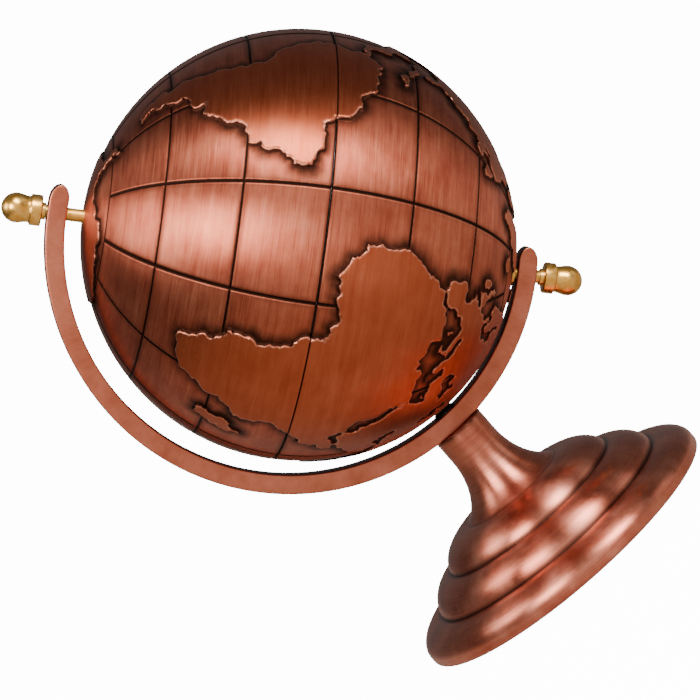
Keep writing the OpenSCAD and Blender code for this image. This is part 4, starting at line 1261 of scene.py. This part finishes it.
def makeBush(name, side, node):
    # flanged tube in the pole's hole, flush with the spot face
    profile = roundedProfile([
        (axle["bore"], bush["foot"] - 1, 0), (bush["flangeRadius"], bush["foot"] - 1, 0.15),
        (bush["flangeRadius"], bush["foot"], 0.15), (bush["radius"], bush["foot"], 0),
        (bush["radius"], bush["face"], 0.15), (axle["bore"], bush["face"], 0)], 3)
    profile = np.concatenate([profile, profile[:1]])
    piece = lathe(name, profile, dullBrass, 64, alongAxle(side))
    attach(piece, "globe")
    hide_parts(node)


makeBush("southPoleBush", 1, "south_pole_bush")
makeBush("northPoleBush", -1, "north_pole_bush")


def makeThrustWasher():
    # flat ring on the lower bush's face
    low, high = bush["face"], bush["face"] + bush["washer"]
    profile = roundedProfile([
        (axle["bore"], low, 0), (bush["washerRadius"], low, 0.12),
        (bush["washerRadius"], high, 0.12), (axle["bore"], high, 0)], 3)
    profile = np.concatenate([profile, profile[:1]])
    return lathe("thrustWasher", profile, dullBrass, 64, alongAxle(-1))


washer = makeThrustWasher()
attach(washer, frame["nodes"]["thrust_washer"]["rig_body"])
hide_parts("thrust_washer")
print("bushes and washer made")


def makeSteel():
    # machine screw steel with black oxide, worn grey in patches
    material, tree = newMaterial("black oxide steel")
    place = addNode(tree, "ShaderNodeTexCoord")
    local = addNode(tree, "ShaderNodeMapping", {"vector_type": "TEXTURE"}, {
        "Vector": place.outputs["Object"], "Scale": (mm, mm, mm)})
    cloud = addNode(tree, "ShaderNodeTexNoise", None, {
        "Vector": local.outputs[0], "Scale": 1.2, "Detail": 3.0, "Roughness": 0.6})
    ramp = addNode(tree, "ShaderNodeValToRGB", None, {"Fac": cloud.outputs["Fac"]})
    setRamp(ramp, [(0.35, "#1D1B1B"), (0.65, "#3B3838")])
    shader = addNode(tree, "ShaderNodeBsdfPrincipled", None, {
        "Base Color": ramp.outputs[0], "Metallic": 1.0, "Roughness": 0.38})
    addNode(tree, "ShaderNodeOutputMaterial", None, {"Surface": shader.outputs[0]})
    return material


steel = makeSteel()
bolt = {
    "head": 3.5, "headHeight": 1.4, "edge": 0.3,
    "crown": 1.9,             # radius of the flat top
    "shank": 1.95, "length": 35.0, "pointBevel": 0.4,
    "socketAcross": 2.5, "socketBevel": 0.08, "socketFloor": 0.2,
    "around": 96,
}


def makeBolt():
    # button head with a six-sided socket: the socket's rows take the hexagon's radius at each turn
    turn = np.linspace(0, 2 * math.pi, bolt["around"], endpoint=False)
    sixth = math.pi / 3
    hexagon = bolt["socketAcross"] / 2 / np.cos((turn + sixth / 2) % sixth - sixth / 2)
    a = np.linspace(0, math.pi / 2, 12)
    headRadius = bolt["crown"] + (bolt["head"] - bolt["crown"]) * np.cos(a)
    headHeight = bolt["edge"] + (bolt["headHeight"] - bolt["edge"]) * np.sin(a)
    rows = [(0.0, -bolt["length"]), (bolt["shank"] - bolt["pointBevel"], -bolt["length"]),
            (bolt["shank"], bolt["pointBevel"] - bolt["length"]), (bolt["shank"], -0.05),
            (bolt["shank"], 0.0), (bolt["head"] - 0.1, 0.0), (bolt["head"], 0.1)]
    rows += list(zip(headRadius, headHeight))
    radii = [np.full(bolt["around"], r) for r, _ in rows] + [hexagon * 1.04, hexagon, hexagon, hexagon * 0]
    heights = [z for _, z in rows] + [
        bolt["headHeight"], bolt["headHeight"] - bolt["socketBevel"],
        bolt["socketFloor"] + 0.02, bolt["socketFloor"]]
    r = np.array(radii)
    z = np.array(heights)[:, None] + boltSeat + 0 * r
    points = np.stack([r * np.cos(turn), r * np.sin(turn), z], -1).reshape(-1, 3)
    # the first and the last row are each one point
    faces = gridFaces(len(radii), bolt["around"])
    last = (len(radii) - 1) * bolt["around"]
    faces = np.where(faces < bolt["around"], 0, np.minimum(faces, last))
    used, new = np.unique(faces, return_inverse=True)
    piece = buildMesh("arcBolt", points[used], withoutRepeats(new.reshape(faces.shape)), steel)
    piece.data.set_sharp_from_angle(angle=math.radians(40))
    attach(piece, "stand")
    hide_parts("arc_bolt")


makeBolt()


def makeFeltMaterial():
    # pressed and glued green baize: short fibres break up the flat and soften its edge
    material, tree = newMaterial("green baize felt")
    place = addNode(tree, "ShaderNodeTexCoord")
    local = addNode(tree, "ShaderNodeMapping", {"vector_type": "TEXTURE"}, {
        "Vector": place.outputs["Object"], "Scale": (mm, mm, mm)})
    fibre = addNode(tree, "ShaderNodeTexNoise", None, {
        "Vector": local.outputs[0], "Scale": 2.5, "Detail": 6.0, "Roughness": 0.7})
    ramp = addNode(tree, "ShaderNodeValToRGB", None, {"Fac": fibre.outputs["Fac"]})
    setRamp(ramp, [(0.35, "#173222"), (0.65, "#2C523A")])
    bump = addNode(tree, "ShaderNodeBump", None, {
        "Strength": 0.6, "Distance": 0.0002, "Height": fibre.outputs["Fac"]})
    shader = addNode(tree, "ShaderNodeBsdfPrincipled", None, {
        "Base Color": ramp.outputs[0], "Roughness": 0.95, "Sheen Weight": 0.4, "Normal": bump.outputs[0]})
    addNode(tree, "ShaderNodeOutputMaterial", None, {"Surface": shader.outputs[0]})
    return material


felt = {"radius": 46.4, "thickness": 1.5, "round": 0.3}


def makeFelt():
    # round disc with soft edges, flat on the desk
    wide, high, edge = felt["radius"], felt["thickness"], felt["round"]
    profile = roundedProfile([(0, 0, 0), (wide, 0, edge), (wide, high, edge), (0, high, 0)], 4)
    piece = lathe("baseFelt", profile, makeFeltMaterial())
    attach(piece, "stand")
    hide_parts("base_felt")


makeFelt()
print("bolt and felt made")


def makePlain(name, low, high, roughness, metallic, scale):
    # one finish for a part inside: two close colours, mixed by a grain of so many to the millimetre
    material, tree = newMaterial(name)
    place = addNode(tree, "ShaderNodeTexCoord")
    local = addNode(tree, "ShaderNodeMapping", {"vector_type": "TEXTURE"}, {
        "Vector": place.outputs["Object"], "Scale": (mm, mm, mm)})
    grain = addNode(tree, "ShaderNodeTexNoise", None, {
        "Vector": local.outputs[0], "Scale": scale, "Detail": 5.0, "Roughness": 0.6})
    ramp = addNode(tree, "ShaderNodeValToRGB", None, {"Fac": grain.outputs["Fac"]})
    setRamp(ramp, [(0.35, low), (0.65, high)])
    shader = addNode(tree, "ShaderNodeBsdfPrincipled", None, {
        "Base Color": ramp.outputs[0], "Roughness": roughness, "Metallic": metallic})
    addNode(tree, "ShaderNodeOutputMaterial", None, {"Surface": shader.outputs[0]})
    return material


hidden = {
    # pressed brown fibre, dull and finely mottled
    "base_board": makePlain("hardboard", "#5C3A22", "#7A5233", 0.75, 0.0, 1.5),
    # rolled aluminium as it leaves the mill, a soft grey shine
    "seam_ring": makePlain("mill finish aluminium", "#8E9092", "#B4B6B8", 0.35, 1.0, 0.4),
    "bolt_washer": steel,
    "spring_washer": steel,
    "bolt_nut": steel,
}
for node, material in hidden.items():
    for slot in frame["nodes"][node].material_slots:
        slot.material = material
print("materials given to the parts kept from the frame")
